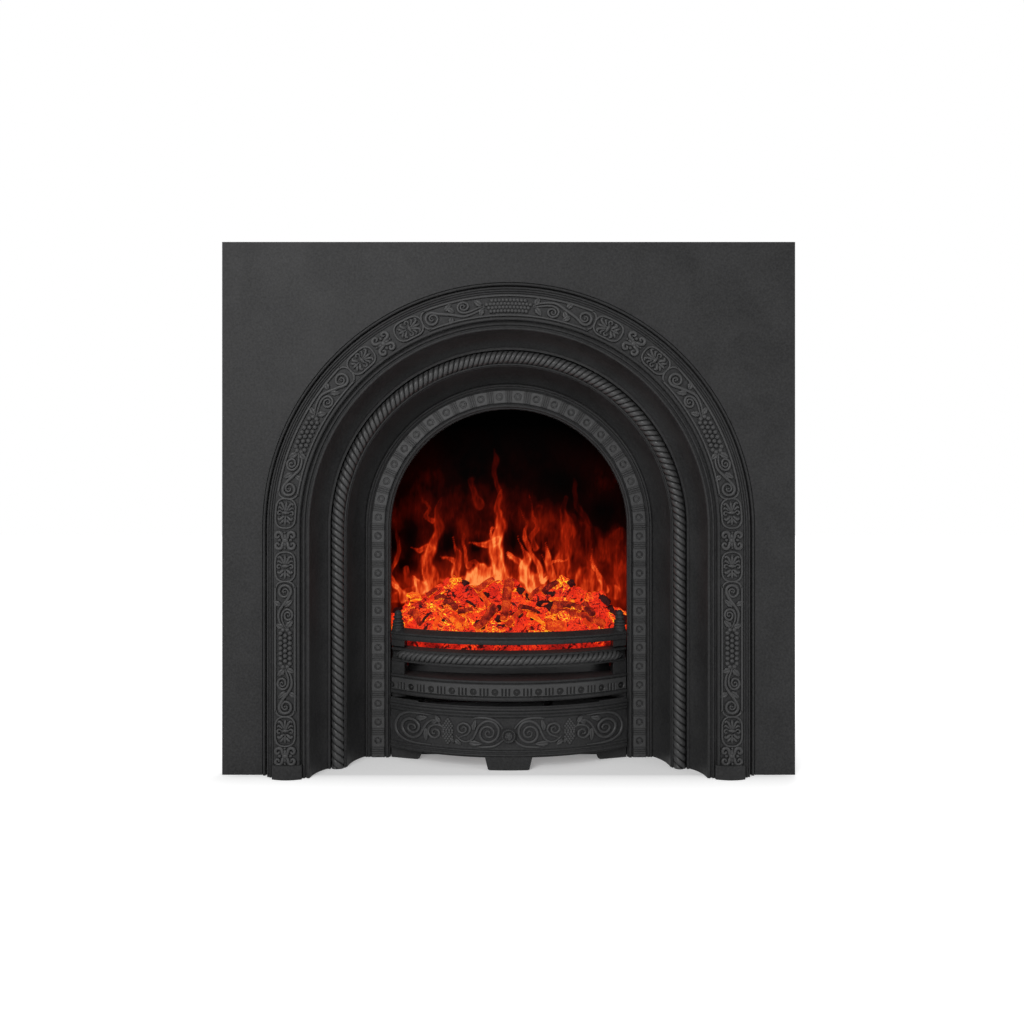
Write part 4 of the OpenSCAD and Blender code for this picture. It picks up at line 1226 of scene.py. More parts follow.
@dataclass
class CoverOrnament:
    """The scrolls, leaves and grapes on the ashpan cover, and the knob's beaded rim."""

    face: BowedFace = BowedFace(306.0)
    middle: float = 59.6
    drawn_middle: float = 58.5
    squeeze: float = 0.9
    bead: float = 1.45
    rim_beads: int = 20
    rim_inset: float = 1.9
    dome: Rows = ((0.0, 1), (2.4, 6), (4.7, 11))
    lines: tuple[tuple[float, float, Rows], ...] = (
        (2.5, 3.5, ((-110.8, 66), (-118.4, 76.6), (-127.9, 75.4), (-136.2, 67.6), (-141.6, 57.2),
                    (-148, 46.6), (-159.2, 40.6), (-171, 44.6), (-178.4, 55.6), (-176, 66.8),
                    (-166, 74), (-155, 72), (-148.4, 63.4), (-151.6, 53.8), (-160.4, 49.8),
                    (-167.8, 55.6), (-165.6, 63), (-158, 64.2), (-154.8, 58.8), (-158.6, 56))),
        (2.2, 3.0, ((-128, 85.2), (-150, 86.2), (-169, 85), (-182, 78), (-189.3, 66),
                    (-190.8, 54.8), (-186.8, 43.6), (-175.4, 35.4), (-158, 31.6), (-128, 31))),
        (2.15, 3.3, ((-104, 60), (-110, 66.6), (-119, 68.6), (-128.6, 64.6), (-132.6, 56),
                     (-129.4, 47.8), (-121.6, 44.8), (-114.6, 49.4), (-114.6, 57.2),
                     (-120.4, 60.6), (-125.6, 56.6), (-123.8, 52), (-119.8, 53))),
        (2.15, 3.3, ((-84, 47), (-76, 51.4), (-67.6, 55.4), (-62.6, 64), (-66, 72.4), (-74.4, 75),
                     (-81.8, 69.8), (-82, 61.6), (-75.8, 57.6), (-69.6, 61), (-69.8, 67.2),
                     (-74.6, 68.4), (-75.6, 64.8))),
        (2.5, 3.5, ((-86, 52), (-80.6, 46), (-73.4, 42), (-66, 42.6), (-58.4, 48), (-53.2, 58.8),
                    (-48.4, 70.6), (-40, 78.6), (-31, 80.4), (-22.4, 76.6), (-16.8, 68),
                    (-16.4, 57.6), (-21.4, 48), (-31, 42.6), (-41, 45), (-46.4, 54),
                    (-44.6, 64.2), (-37, 70.4), (-28.4, 68.6), (-24, 60.6), (-27.6, 52.6),
                    (-35.4, 52.8), (-37.6, 59.4), (-33, 62.8), (-30.4, 59))),
        (2.25, 3.3, ((-58, 84.4), (-48, 86), (-34, 85.6), (-22.4, 81.8), (-14.6, 74.4),
                     (-9.6, 67))),
        (2.25, 3.3, ((-52, 33), (-38.4, 33.4), (-25.6, 35.2), (-16.4, 40), (-9, 47))))
    leaves: Rows = (
        (-153.6, 77.4, 2, 19, 8.4, 2.0), (-136.4, 61, -93, 22, 7.6, 1.5),
        (-127, 71, 26, 14, 6.6, 1.0), (-112.4, 73.4, 128, 14, 7.2, 0.0),
        (-57.4, 62.6, 84, 19, 7.0, -2.0), (-64.6, 41, -10, 22, 8.6, 2.0),
        (-88, 45, -38, 14, 7.0, 0.0), (-93.6, 47.6, -66, 10, 5.0, 0.0))
    grape_rows: tuple[int, ...] = (1, 2, 3, 4, 3, 4, 4, 3, 4, 3, 2, 1)

    def seat(self, x: float, z: float) -> Point2:
        """Returns a drawn place, across and up from the hearth, as it goes on the panel."""
        return x, self.middle + self.squeeze * (z - self.drawn_middle)

    def scrolls(self) -> Obj:
        """Draws the left half's scrolls, as the room sees them.

        Returns:
            A flat template.
        """
        work = Relief("cover_scrolls", sink=0.6)
        for half, height, points in self.lines:
            work.strand(smooth_path([self.seat(*point) for point in points], 1.5),
                        half * np.array([0.45, 0.85, 1, 1, 1, 0.95, 0.8, 0.6]),
                        height * np.array([0.5, 0.9, 1, 1, 1, 1, 0.9]))
        for x, z, angle, length, width, bend in self.leaves:
            work.leaf(self.seat(x, z), angle, length, 1.15 * width, 3.5, bend)
        work.grapes([(-99.6 + (i - (number - 1) / 2) * 4.9, 79.4 - row * 3.55)
                     for row, number in enumerate(self.grape_rows) for i in range(number)],
                    2.6, 0.8)
        return work.done()

    def build(self) -> None:
        """Lays the scrolls on both halves of the cover and beads the knob."""
        template = self.scrolls()
        for mirrored, half in ((False, "left"), (True, "right")):
            laid = Bench.copy(template, self.face.lay(mirrored))
            Bench.hand_over(Bench.join(f"cover_scrolls_{half}", [laid]), LIT_ORNAMENT_IRON, 50,
                            body=Body.COVER)
        Bench.discard([template])
        self.bead_knob()

    def bead_knob(self) -> None:
        """Builds the beads round the knob's rim and its rough middle."""
        low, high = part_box("cover_knob")
        middle = (low + high) / 2
        radius = (high.x - low.x) / 2 / MM
        bead = Bench.ball(2, self.bead * MM)
        lean = Bench.points(bead)[:, 1] / (self.bead * MM)
        # Painted shade: each bead's back, turned from the front, gets a darker colour.
        Bench.mark(bead, PAINTED_SHADE_MARK, np.clip((0.25 - lean) / 0.8, 0, 1))
        places = [(i * math.tau / self.rim_beads, radius - self.rim_inset, 3.4, 1.0)
                  for i in range(self.rim_beads)]
        rng = random.Random(5)
        for ring, count in self.dome:
            places += [((i + rng.random() * 0.5) * math.tau / count, ring,
                        0.9 + (ring / 4.7) ** 2 * 0.95, rng.uniform(0.85, 1.35))
                       for i in range(count)]
        beads = []
        for turn, ring, depth, size in places:
            spot = np.array([middle.x + ring * MM * math.cos(turn), low.y + depth * MM,
                             middle.z + ring * MM * math.sin(turn)])
            beads.append(Bench.copy(bead, lambda p, s=spot, k=size: p * k + s))
        Bench.discard([bead])
        Bench.hand_over(Bench.join("knob_beads", beads), LIT_ORNAMENT_IRON, 60, body=Body.COVER)


@dataclass
class RailRelief:
    """The lower rail's sunk circles and slots, as a cast plate on the rail's face."""

    face: BowedFace = BowedFace(301.4)
    columns: int = 780
    rows: int = 38
    half: float = 198.0
    low: float = 118.3
    high: float = 138.2
    middle: float = 125.4
    thick: float = 2.6
    first: float = 13.1
    pitch: float = 35.3
    circle: float = 5.6
    deep: float = 1.9
    slot_half: float = 1.1
    slot_reach: float = 5.9
    slot_gap: float = 5.7
    wall: float = 0.7
    back: float = -0.4

    def height(self, x: np.ndarray, z: np.ndarray) -> tuple[np.ndarray, np.ndarray]:
        """Returns the plate's height with its circles and slots sunk.

        Args:
            x: Places across.
            z: Heights from the hearth.

        Returns:
            Heights above the rail's face, and the painted shade on each place, darker in the sunk
            circles and slots.
        """
        near = (x - self.first + self.pitch / 2) % self.pitch - self.pitch / 2
        r = np.hypot(near, z - self.middle)
        boss = np.clip((r - 1.0) / 1.6 + 0.3, 0.55, 1)
        dish = np.clip((self.circle - r) / self.wall, 0, 1) * boss
        beside = (x - self.first) % self.pitch - self.pitch / 2
        column = np.abs((beside + 1.5 * self.slot_gap) % self.slot_gap - self.slot_gap / 2)
        inside = np.clip((self.slot_half - column) / self.wall + 0.5, 0, 1)
        inside *= np.abs(beside) < 1.5 * self.slot_gap
        inside *= np.clip((self.slot_reach - np.abs(z - self.middle)) / self.wall + 0.5, 0, 1)
        rim = np.clip(np.minimum(z - self.low, self.high - z) / 0.9, 0, 1)
        sunk = np.maximum(dish, inside)
        # Painted shade: the sunk circles and slots get a darker colour.
        return self.thick * (0.55 + 0.45 * rim) - self.deep * sunk, 1 - 0.9 * sunk

    def build(self) -> None:
        """Builds the plate as a grid that is shaped by its heights, and gives it a back."""
        plate, flat, behind = Bench.slab("rail_relief", self.columns, self.rows)
        x = flat[:, 0] * self.half
        z = (self.low + self.high) / 2 + flat[:, 1] * (self.high - self.low) / 2
        level, unshaded = self.height(x, z)
        level[behind] = self.back
        Bench.put_points(plate, self.face.lay()(np.column_stack([x, z, level])))
        Bench.mark(plate, PAINTED_SHADE_MARK, unshaded)
        Bench.hand_over(Bench.join("rail_relief", [plate]), LIT_ORNAMENT_IRON, 35, body=Body.GRATE)


@dataclass
class CircleBand:
    """The band of sunk rings and short bars round the fire opening, in equal cells."""

    path: ArchPath = ArchPath(223.5, -107.6)
    half: float = 10.7
    first: float = 28.0
    cells: int = 45
    ring: float = 6.3
    boss: float = 3.1
    bar_gap: float = 3.6
    bar_half: float = 1.0
    bar_stations: tuple[float, ...] = (
        0, 0.5, 0.88, 1.3, 1.8, 2.3, 2.72, 3.1, 3.6, 4.1, 4.48, 4.9, 5.4, 7.4)
    ring_from: float = 9.2
    ring_stations: int = 12
    wall: float = 0.45
    face: float = 0.5
    back: float = -0.4
    rows: int = 34

    def step(self) -> float:
        """Returns the length of one cell, from ring to ring."""
        return (self.path.length() - 2 * self.first) / self.cells

    def stations(self) -> np.ndarray:
        """Spreads the columns of one cell, closer together at its bars and rings.

        Returns:
            Places along, from the cell's middle bar.
        """
        rings = np.linspace(self.ring_from, self.step() / 2, self.ring_stations)
        side = np.concatenate([self.bar_stations, rings])
        return np.concatenate([-side[:0:-1], side])

    def relief(self, along: np.ndarray, across: np.ndarray) -> tuple[np.ndarray, np.ndarray]:
        """Returns the height of a cell, and the painted shade on each place.

        Args:
            along: Distances from the cell's middle bar.
            across: Distances from the band's middle line.

        Returns:
            Heights above the band, and the painted shade from 0, darkest, to 1, none.
        """
        r = np.hypot(self.step() / 2 - np.abs(along), across)
        inside = np.clip((self.ring - r) / self.wall, 0, 1)
        ditch = inside * np.clip((r - self.boss) / self.wall, 0, 1)
        nearest = np.abs(along - self.bar_gap * np.clip(np.round(along / self.bar_gap), -1, 1))
        bar = np.clip((self.bar_half - nearest) / self.wall + 0.5, 0, 1)
        beside = (np.abs(along) < self.bar_gap + 2 * self.bar_half) & (bar < 0.5)
        level = self.face + 1.3 * bar - 0.75 * ditch - 0.25 * inside
        # Painted shade: the ring ditches, the gaps beside the bars and the band's edges get a
        # darker colour.
        unshaded = 1 - ditch - 0.1 * inside - 0.45 * beside
        edge = np.clip((self.half - np.abs(across)) / 0.8, 0, 1)
        return level * (0.4 + 0.6 * edge), np.clip(unshaded * (0.35 + 0.65 * edge), 0, 1)

    def cell(self, stations: np.ndarray) -> Obj:
        """Builds one flat cell with a back.

        Args:
            stations: The places along it.

        Returns:
            A template whose first column is the distance from its middle bar.
        """
        columns = len(stations) - 1
        plate, flat, behind = Bench.slab("circle_cell", columns, self.rows)
        along = stations[np.round((flat[:, 0] + 1) / 2 * columns).astype(int)]
        across = flat[:, 1] * self.half
        level, unshaded = self.relief(along, across)
        level[behind] = self.back
        Bench.put_points(plate, np.column_stack([along, across, level]))
        Bench.mark(plate, PAINTED_SHADE_MARK, unshaded)
        return plate

    def build(self) -> None:
        """Lays the cells round the opening, with a shorter one at each foot."""
        stations = self.stations()
        foot = self.first - self.step() / 2
        whole, short = self.cell(stations), self.cell(stations[stations > 0.4 - foot])
        laid = [Bench.copy(whole, self.path.lay(self.first + self.step() * (i + 0.5)))
                for i in range(self.cells)]
        laid += [Bench.copy(short, self.path.lay(foot, mirrored)) for mirrored in (False, True)]
        Bench.discard([whole, short])
        Bench.hand_over(Bench.join("circle_band", laid), LIT_ORNAMENT_IRON, 35)


@dataclass
class CableSeal:
    """The ribbed rubber seal in the cable gland, which a mains cable is pushed through."""

    sides: int = 40
    profile: Rows = (
        (0.15, 0.2), (0.7, 0.7), (1.3, 0.9), (1.8, 0.4), (2.4, 0.3), (2.9, 0.9), (3.5, 1.1),
        (4.0, 0.9), (4.4, 0.4), (4.4, -1.0), (3.2, -1.1), (2.4, -0.6), (0.15, -0.4))

    def build(self) -> None:
        """Turns the seal's profile round the middle of the gland's bore."""
        middle = np.array(sum(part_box("cable_gland"), Vector()) / 2)
        turn = np.arange(self.sides) * math.tau / self.sides
        rings = np.array([np.column_stack([r * np.cos(turn), np.full(self.sides, out),
                                           r * np.sin(turn)]) for r, out in self.profile])
        seal = Bench.skin("cable_seal", rings * MM + middle)
        Bench.hand_over(seal, BLACK_PLASTIC, 50, slot=Slot.PLASTIC)


@dataclass(frozen=True)
class Stick:
    """A charred stick: its two ends as the room sees them, its radius and its tone."""

    x0: float
    z0: float
    x1: float
    z1: float
    radius: float
    tone: float


@dataclass
class FireBed:
    """The heap of glowing coals, with charred sticks in it."""

    seed: int = 11
    floor: float = 152.0
    front: float = 103.0
    back: float = 200.5
    bow: float = 436.0
    half: float = 215.0
    front_half: float = 166.0
    uprights_to: float = 139.0
    side_from: float = 181.0
    side_floor: float = 208.0
    columns: int = 120
    rows: int = 36
    tries: int = 9000
    lumps: int = 150
    lump_gap: float = 16.0
    lump_sizes: Point2 = (7.5, 14.5)
    margin: float = 10.0
    cuts: int = 11
    splints: int = 44
    most_triangles: int = 170_000
    # The direction against which the painted shade in the coals' and sticks' glow is measured.
    outwards: tuple[float, float, float] = (0.0, -0.72, 0.69)
    smooth: float = 45
    hump: Rows = (
        (-218, 238), (-206, 241), (-190, 250), (-178, 260), (-170, 264), (-150, 273), (-134, 283),
        (-112, 300), (-97, 308), (-84, 303), (-66, 288), (-52, 284), (-34, 291), (-16, 300),
        (11, 302), (20, 296), (28, 284), (35, 266), (46, 273), (57, 281), (78, 296), (90, 306),
        (98, 308), (106, 305), (118, 290), (136, 274), (153, 282), (166, 277), (172, 260),
        (191, 249), (206, 246), (218, 241))
    slope: Rows = ((0, 0.30), (0.05, 0.42), (0.2, 0.58), (0.4, 0.76), (0.6, 0.92), (0.78, 1.0),
                   (1, 0.98))
    log_end: Stick = Stick(-167.4, 272.5, -166.5, 262.0, 10.5, 0.55)
    sticks: Rows = (
        (4, 299, -12, 233, 7.5, 0.3), (-22, 255, -57, 220, 7.0, 0.2),
        (-115, 245, -78, 219, 4.6, 0.75), (-105, 248, -70, 221, 3.6, 0.6),
        (17, 256, 48, 245, 4.6, 0.05), (32, 242, 62, 227, 3.6, 0.8),
        (74, 253, 168, 221, 8.5, 0.3), (76, 259, 126, 250, 7.0, 0.1),
        (71, 266, 115, 264, 3.0, 0.9), (64, 228, 94, 220, 8.5, 0.5),
        (-129, 269, -108, 269, 5.0, 0.05), (-112, 264, -88, 252, 6.5, 0.05),
        (-88, 248, -63, 248, 5.0, 0.1), (-146, 271, -126, 283, 4.0, 0.4),
        (-172, 246, -150, 225, 6.5, 0.3), (-60, 281, -26, 299, 5.5, 0.4),
        (35, 266, 60, 285, 4.5, 0.4), (60, 275, 86, 297, 5.0, 0.1),
        (132, 259, 144, 238, 7.0, 0.1), (-4, 224, 23, 249, 4.5, 0.5),
        (97, 244, 96, 214, 3.6, 0.7), (130, 236, 144, 215, 4.0, 0.7),
        (-50, 276, -35, 255, 4.0, 0.6), (-128, 213, -121, 240, 4.0, 0.8))

    def crest(self, x: float | np.ndarray) -> np.ndarray:
        """Returns the heap's greatest height at places across."""
        return np.interp(x, *zip(*self.hump))

    def top(self, x: float | np.ndarray, depth: float | np.ndarray) -> np.ndarray:
        """Returns the heap's height.

        Args:
            x: Places across.
            depth: Depths behind the plate's face.

        Returns:
            Heights from the hearth.
        """
        share = np.clip((depth - self.front) / (self.back - self.front), 0, 1)
        return self.floor + (self.crest(x) - self.floor) * np.interp(share, *zip(*self.slope))

    def depth_at(self, x: float, z: float) -> float:
        """Finds where the heap's slope reaches a height.

        Args:
            x: The place across.
            z: The height from the hearth.

        Returns:
            The depth there.
        """
        shares, rises = zip(*self.slope[:-1])
        share = np.interp((z - self.floor) / (self.crest(x) - self.floor), rises, shares)
        return self.front + float(share) * (self.back - self.front)

    def front_at(self, x: float | np.ndarray) -> np.ndarray:
        """Returns the depth at which the bowed heap starts, at places across."""
        return self.front + self.bow - np.sqrt(self.bow ** 2 - x * x)

    def room(self, x: np.ndarray, depth: np.ndarray, z: np.ndarray) -> np.ndarray:
        """Turns places in the fire into the room's frame, in metres."""
        return np.column_stack([x, FACE + depth, z]) * MM

    def reach(self, depth: float | np.ndarray) -> np.ndarray:
        """Returns how far the heap reaches to the sides: less between the uprights."""
        return np.where(depth < self.uprights_to, self.front_half, self.half)

    def ground(self) -> Obj:
        """Builds the body of the heap under the coals.

        Returns:
            A closed mesh object.
        """
        heap, points, behind = Bench.slab("heap", self.columns, self.rows)
        depth = self.front + (points[:, 1] + 1) / 2 * (self.back - self.front)
        x = points[:, 0] * self.reach(depth)
        depth = np.clip(depth, self.front_at(x) + 0.5, self.back)
        rough = [noise.noise(Vector((a * 0.05, b * 0.05, 0))) for a, b in zip(x, depth)]
        z = self.top(x, depth) - 6.0 + 6 * np.array(rough)
        z[behind] = self.floor + 0.3
        Bench.put_points(heap, self.room(x, depth, z))
        Bench.mark(heap, COALS.tone, 0.5)
        return heap

    def coal(self, kind: int) -> Obj:
        """Builds one lump of coal of unit size, with broken faces.

        Args:
            kind: Which of the lumps it is; each has its own shape.

        Returns:
            A template about two units across.
        """
        lump = Bench.ball(4, 1.0)
        points = Bench.points(lump)
        rng = random.Random(self.seed + kind)
        for _ in range(self.cuts):
            away = np.array(Vector([rng.gauss(0, 1) for _ in range(3)]).normalized())
            beyond = np.maximum(0, points @ away - rng.uniform(0.58, 0.86))
            points -= 0.92 * beyond[:, None] * away[None]
        bumps = np.array([noise.noise(Vector(p) * 2.4 + Vector((kind, 0, 0))) for p in points])
        fine = np.array([noise.noise(Vector(p) * 7.0 + Vector((0, kind, 0))) for p in points])
        Bench.put_points(lump, points * (1 + 0.15 * bumps + 0.05 * fine)[:, None])
        return lump

    def stick(self, kind: int, count: int = 40, sides: int = 26) -> Obj:
        """Builds one ridged stick of unit length and radius along the first axis.

        Args:
            kind: Which of the sticks it is.
            count: Rings along it.
            sides: Points round it.

        Returns:
            A template from -1 to 1.
        """
        rings = []
        for s in np.linspace(-1, 1, count):
            cap = math.sqrt(max(0.0, 1 - max(0.0, (abs(s) - 0.93) / 0.07) ** 2 * 0.75))
            bend = 0.35 * math.sin(s * 2.2 + kind)
            ring = []
            for a in np.arange(sides) * math.tau / sides:
                ridge = 0.13 * noise.noise(Vector((s * 2.2, math.cos(a) * 2.6,
                                                   math.sin(a) * 2.6 + kind * 3)))
                furrow = 0.09 * math.sin(a * 7 + 2.5 * noise.noise(Vector((s * 4, kind, 0))))
                r = cap * (1 + ridge + furrow) * (1 - 0.16 * s)
                ring.append((s, r * math.cos(a) + bend, r * math.sin(a)))
            rings.append(ring)
        return Bench.skin("stick", np.array(rings))

    def laid_stick(self, template: Obj, stick: Stick, lift: float, tone_name: str) -> Obj:
        """Lays a copy of a stick on the heap's slope between its two ends.

        Args:
            template: The stick of unit size.
            stick: Its ends, radius and tone.
            lift: How far its middle line is above the slope, in radii.
            tone_name: The attribute that carries its tone.

        Returns:
            The laid stick.
        """
        ends = []
        for x, z in ((stick.x0, stick.z0), (stick.x1, stick.z1)):
            depth = max(self.depth_at(x, z), float(self.front_at(x)) + stick.radius)
            ends.append(np.array([x, depth - lift * stick.radius, z]))
        middle, along = (ends[0] + ends[1]) / 2, (ends[1] - ends[0]) / 2
        side = np.cross(along, (0.0, 1.0, 0.3))
        side *= stick.radius / np.linalg.norm(side)
        up = np.cross(side, along)
        up *= stick.radius / np.linalg.norm(up)
        basis = np.vstack([along, side, up])
        laid = Bench.copy(template, lambda p: self.room(*((p @ basis + middle).T)))
        Bench.mark(laid, tone_name, stick.tone)
        stretch = np.array([np.linalg.norm(along) / 5, 1.3, 1.3])
        Bench.mark(laid, BARK.grain, Bench.points(template) * stretch + middle[0])
        return laid

    def toss(self, x: float, depth: float, z: float, size: float, turn: Sequence[float]) -> Lay:
        """Returns a way to place a lump at a spot, turned and stretched.

        Args:
            x: Its place across.
            depth: Its depth.
            z: Its height.
            size: Its radius in millimetres.
            turn: Three shares of a turn.

        Returns:
            A function from the template's points to the room's points.
        """
        a, b, c = np.array(turn) * math.tau
        spin = np.array([[math.cos(a), -math.sin(a), 0], [math.sin(a), math.cos(a), 0], [0, 0, 1]])
        tip = np.array([[1, 0, 0], [0, math.cos(b), -math.sin(b)], [0, math.sin(b), math.cos(b)]])
        stretch = np.diag([1.35, 0.85 + 0.3 * math.sin(c) ** 2, 0.85])

        def place(points: np.ndarray) -> np.ndarray:
            """Lays a lump's points in the room.

            Args:
                points: The template's points.

            Returns:
                Points in metres.
            """
            turned = points @ stretch.T @ tip.T @ spin.T * size
            return self.room(turned[:, 0] + x, turned[:, 1] + depth, turned[:, 2] + z)
        return place

    def scatter(self, rng: random.Random, lumps: Sequence[Obj]) -> list[Obj]:
        """Strews coals over the slope, never closer than a gap.

        Args:
            rng: Where the draws come from; every try draws its place and size.
            lumps: The templates.

        Returns:
            The laid coals.
        """
        laid: list[Obj] = []
        spots: list[Point2] = []
        for _ in range(self.tries):
            depth = self.front + 6 + (self.back - self.front - 16) * rng.random() ** 0.8
            reach = float(self.reach(depth - self.margin)) - self.margin
            x = rng.uniform(-reach, reach)
            depth = max(depth, float(self.front_at(x)) + self.margin)
            size = rng.uniform(*self.lump_sizes)
            crowded = any((x - a) ** 2 + ((depth - b) * 1.5) ** 2 < self.lump_gap ** 2
                          for a, b in spots)
            if len(spots) >= self.lumps or depth > self.back - self.margin or crowded:
                continue
            spots.append((x, depth))
            z = float(self.top(x, depth)) - size * 0.82
            turn = [rng.random() for _ in range(3)]
            lump = Bench.copy(rng.choice(lumps), self.toss(x, depth, z, size, turn))
            Bench.mark(lump, COALS.tone, rng.random())
            laid.append(lump)
        return laid

    def splinter(self, rng: random.Random, rods: Sequence[Obj]) -> list[Obj]:
        """Strews thin splints between the coals.

        Args:
            rng: Where the draws come from.
            rods: The templates.

        Returns:
            The laid splints.
        """
        laid = []
        for _ in range(self.splints):
            x = rng.uniform(-self.half + 22, self.half - 22)
            crest = float(self.crest(x))
            z = rng.uniform(208, crest - 12)
            lean, reach = rng.uniform(-1.2, 1.2), rng.uniform(9, 22)
            tip = (x + reach * math.cos(lean), min(z + reach * math.sin(lean), crest - 4))
            splint = Stick(x, z, *tip, rng.uniform(1.7, 3.4), rng.random())
            laid.append(self.laid_stick(rng.choice(rods), splint, 0.7, COALS.tone))
        return laid

    def build(self) -> None:
        """Builds the heap with its coals and splints, then the sticks with a log end."""
        rng = random.Random(self.seed)
        lumps = [self.coal(k) for k in range(6)]
        rods = [self.stick(k, 22, 14) for k in range(3)]
        heap = Bench.join("coal_heap", [self.ground(), *self.scatter(rng, lumps),
                                        *self.splinter(rng, rods)])
        Bench.discard([*lumps, *rods])
        self.hold_inside(heap)
        self.thin(heap)
        self.finish(heap, COALS, Slot.COALS, "ember_bed")
        kinds = [self.stick(k) for k in range(3)]
        laid = [self.laid_stick(kinds[i % 3], Stick(*stick), 0.9, BARK.tone)
                for i, stick in enumerate(self.sticks)]
        laid.append(self.laid_stick(kinds[1], self.log_end, 0.9, BARK.tone))
        Bench.discard(kinds)
        work = Bench.join("charred_sticks", laid)
        self.hold_inside(work)
        self.finish(work, BARK, Slot.LOGS, "logs")

    def hold_inside(self, heap: Obj) -> None:
        """Keeps the heap's points between the tray's lip, the sides and the screen.

        Args:
            heap: The piece.
        """
        points = Bench.points(heap) / MM
        depth = points[:, 1] - FACE
        reach = self.reach(depth)
        points[:, 0] = np.clip(points[:, 0], -reach - 1.5, reach + 1.5)
        points[:, 1] = np.clip(depth, self.front_at(points[:, 0]) - 0.2, self.back) + FACE
        under = np.where(np.abs(points[:, 0]) > self.side_from, self.side_floor, self.floor)
        points[:, 2] = np.maximum(points[:, 2], under)
        Bench.put_points(heap, points * MM)

    def thin(self, obj: Obj) -> None:
        """Thins a mesh to the most triangles that it may have.

        Args:
            obj: The piece.
        """
        count = sum(len(p.vertices) - 2 for p in obj.data.polygons)
        if count <= self.most_triangles:
            return
        Bench.hold(obj)
        thinner = obj.modifiers.new("thin", "DECIMATE")
        thinner.ratio = self.most_triangles / count
        bpy.ops.object.modifier_apply(modifier=thinner.name)

    def finish(self, obj: Obj, finish: Coals | CharredBark, slot: Slot, replaced: str) -> None:
        """Marks how far every point faces out of the slope, for the painted shade in its glow, and
        hands the piece over.

        Args:
            obj: The piece.
            finish: Its material.
            slot: Its slot.
            replaced: The CAD node that it replaces.
        """
        normals = np.empty(len(obj.data.vertices) * 3, np.float32)
        obj.data.vertex_normals.foreach_get("vector", normals)
        Bench.mark(obj, finish.facing_shade, normals.reshape(-1, 3) @ np.array(self.outwards))
        Bench.hand_over(obj, finish, self.smooth, slot=slot, stands_for=[replaced])


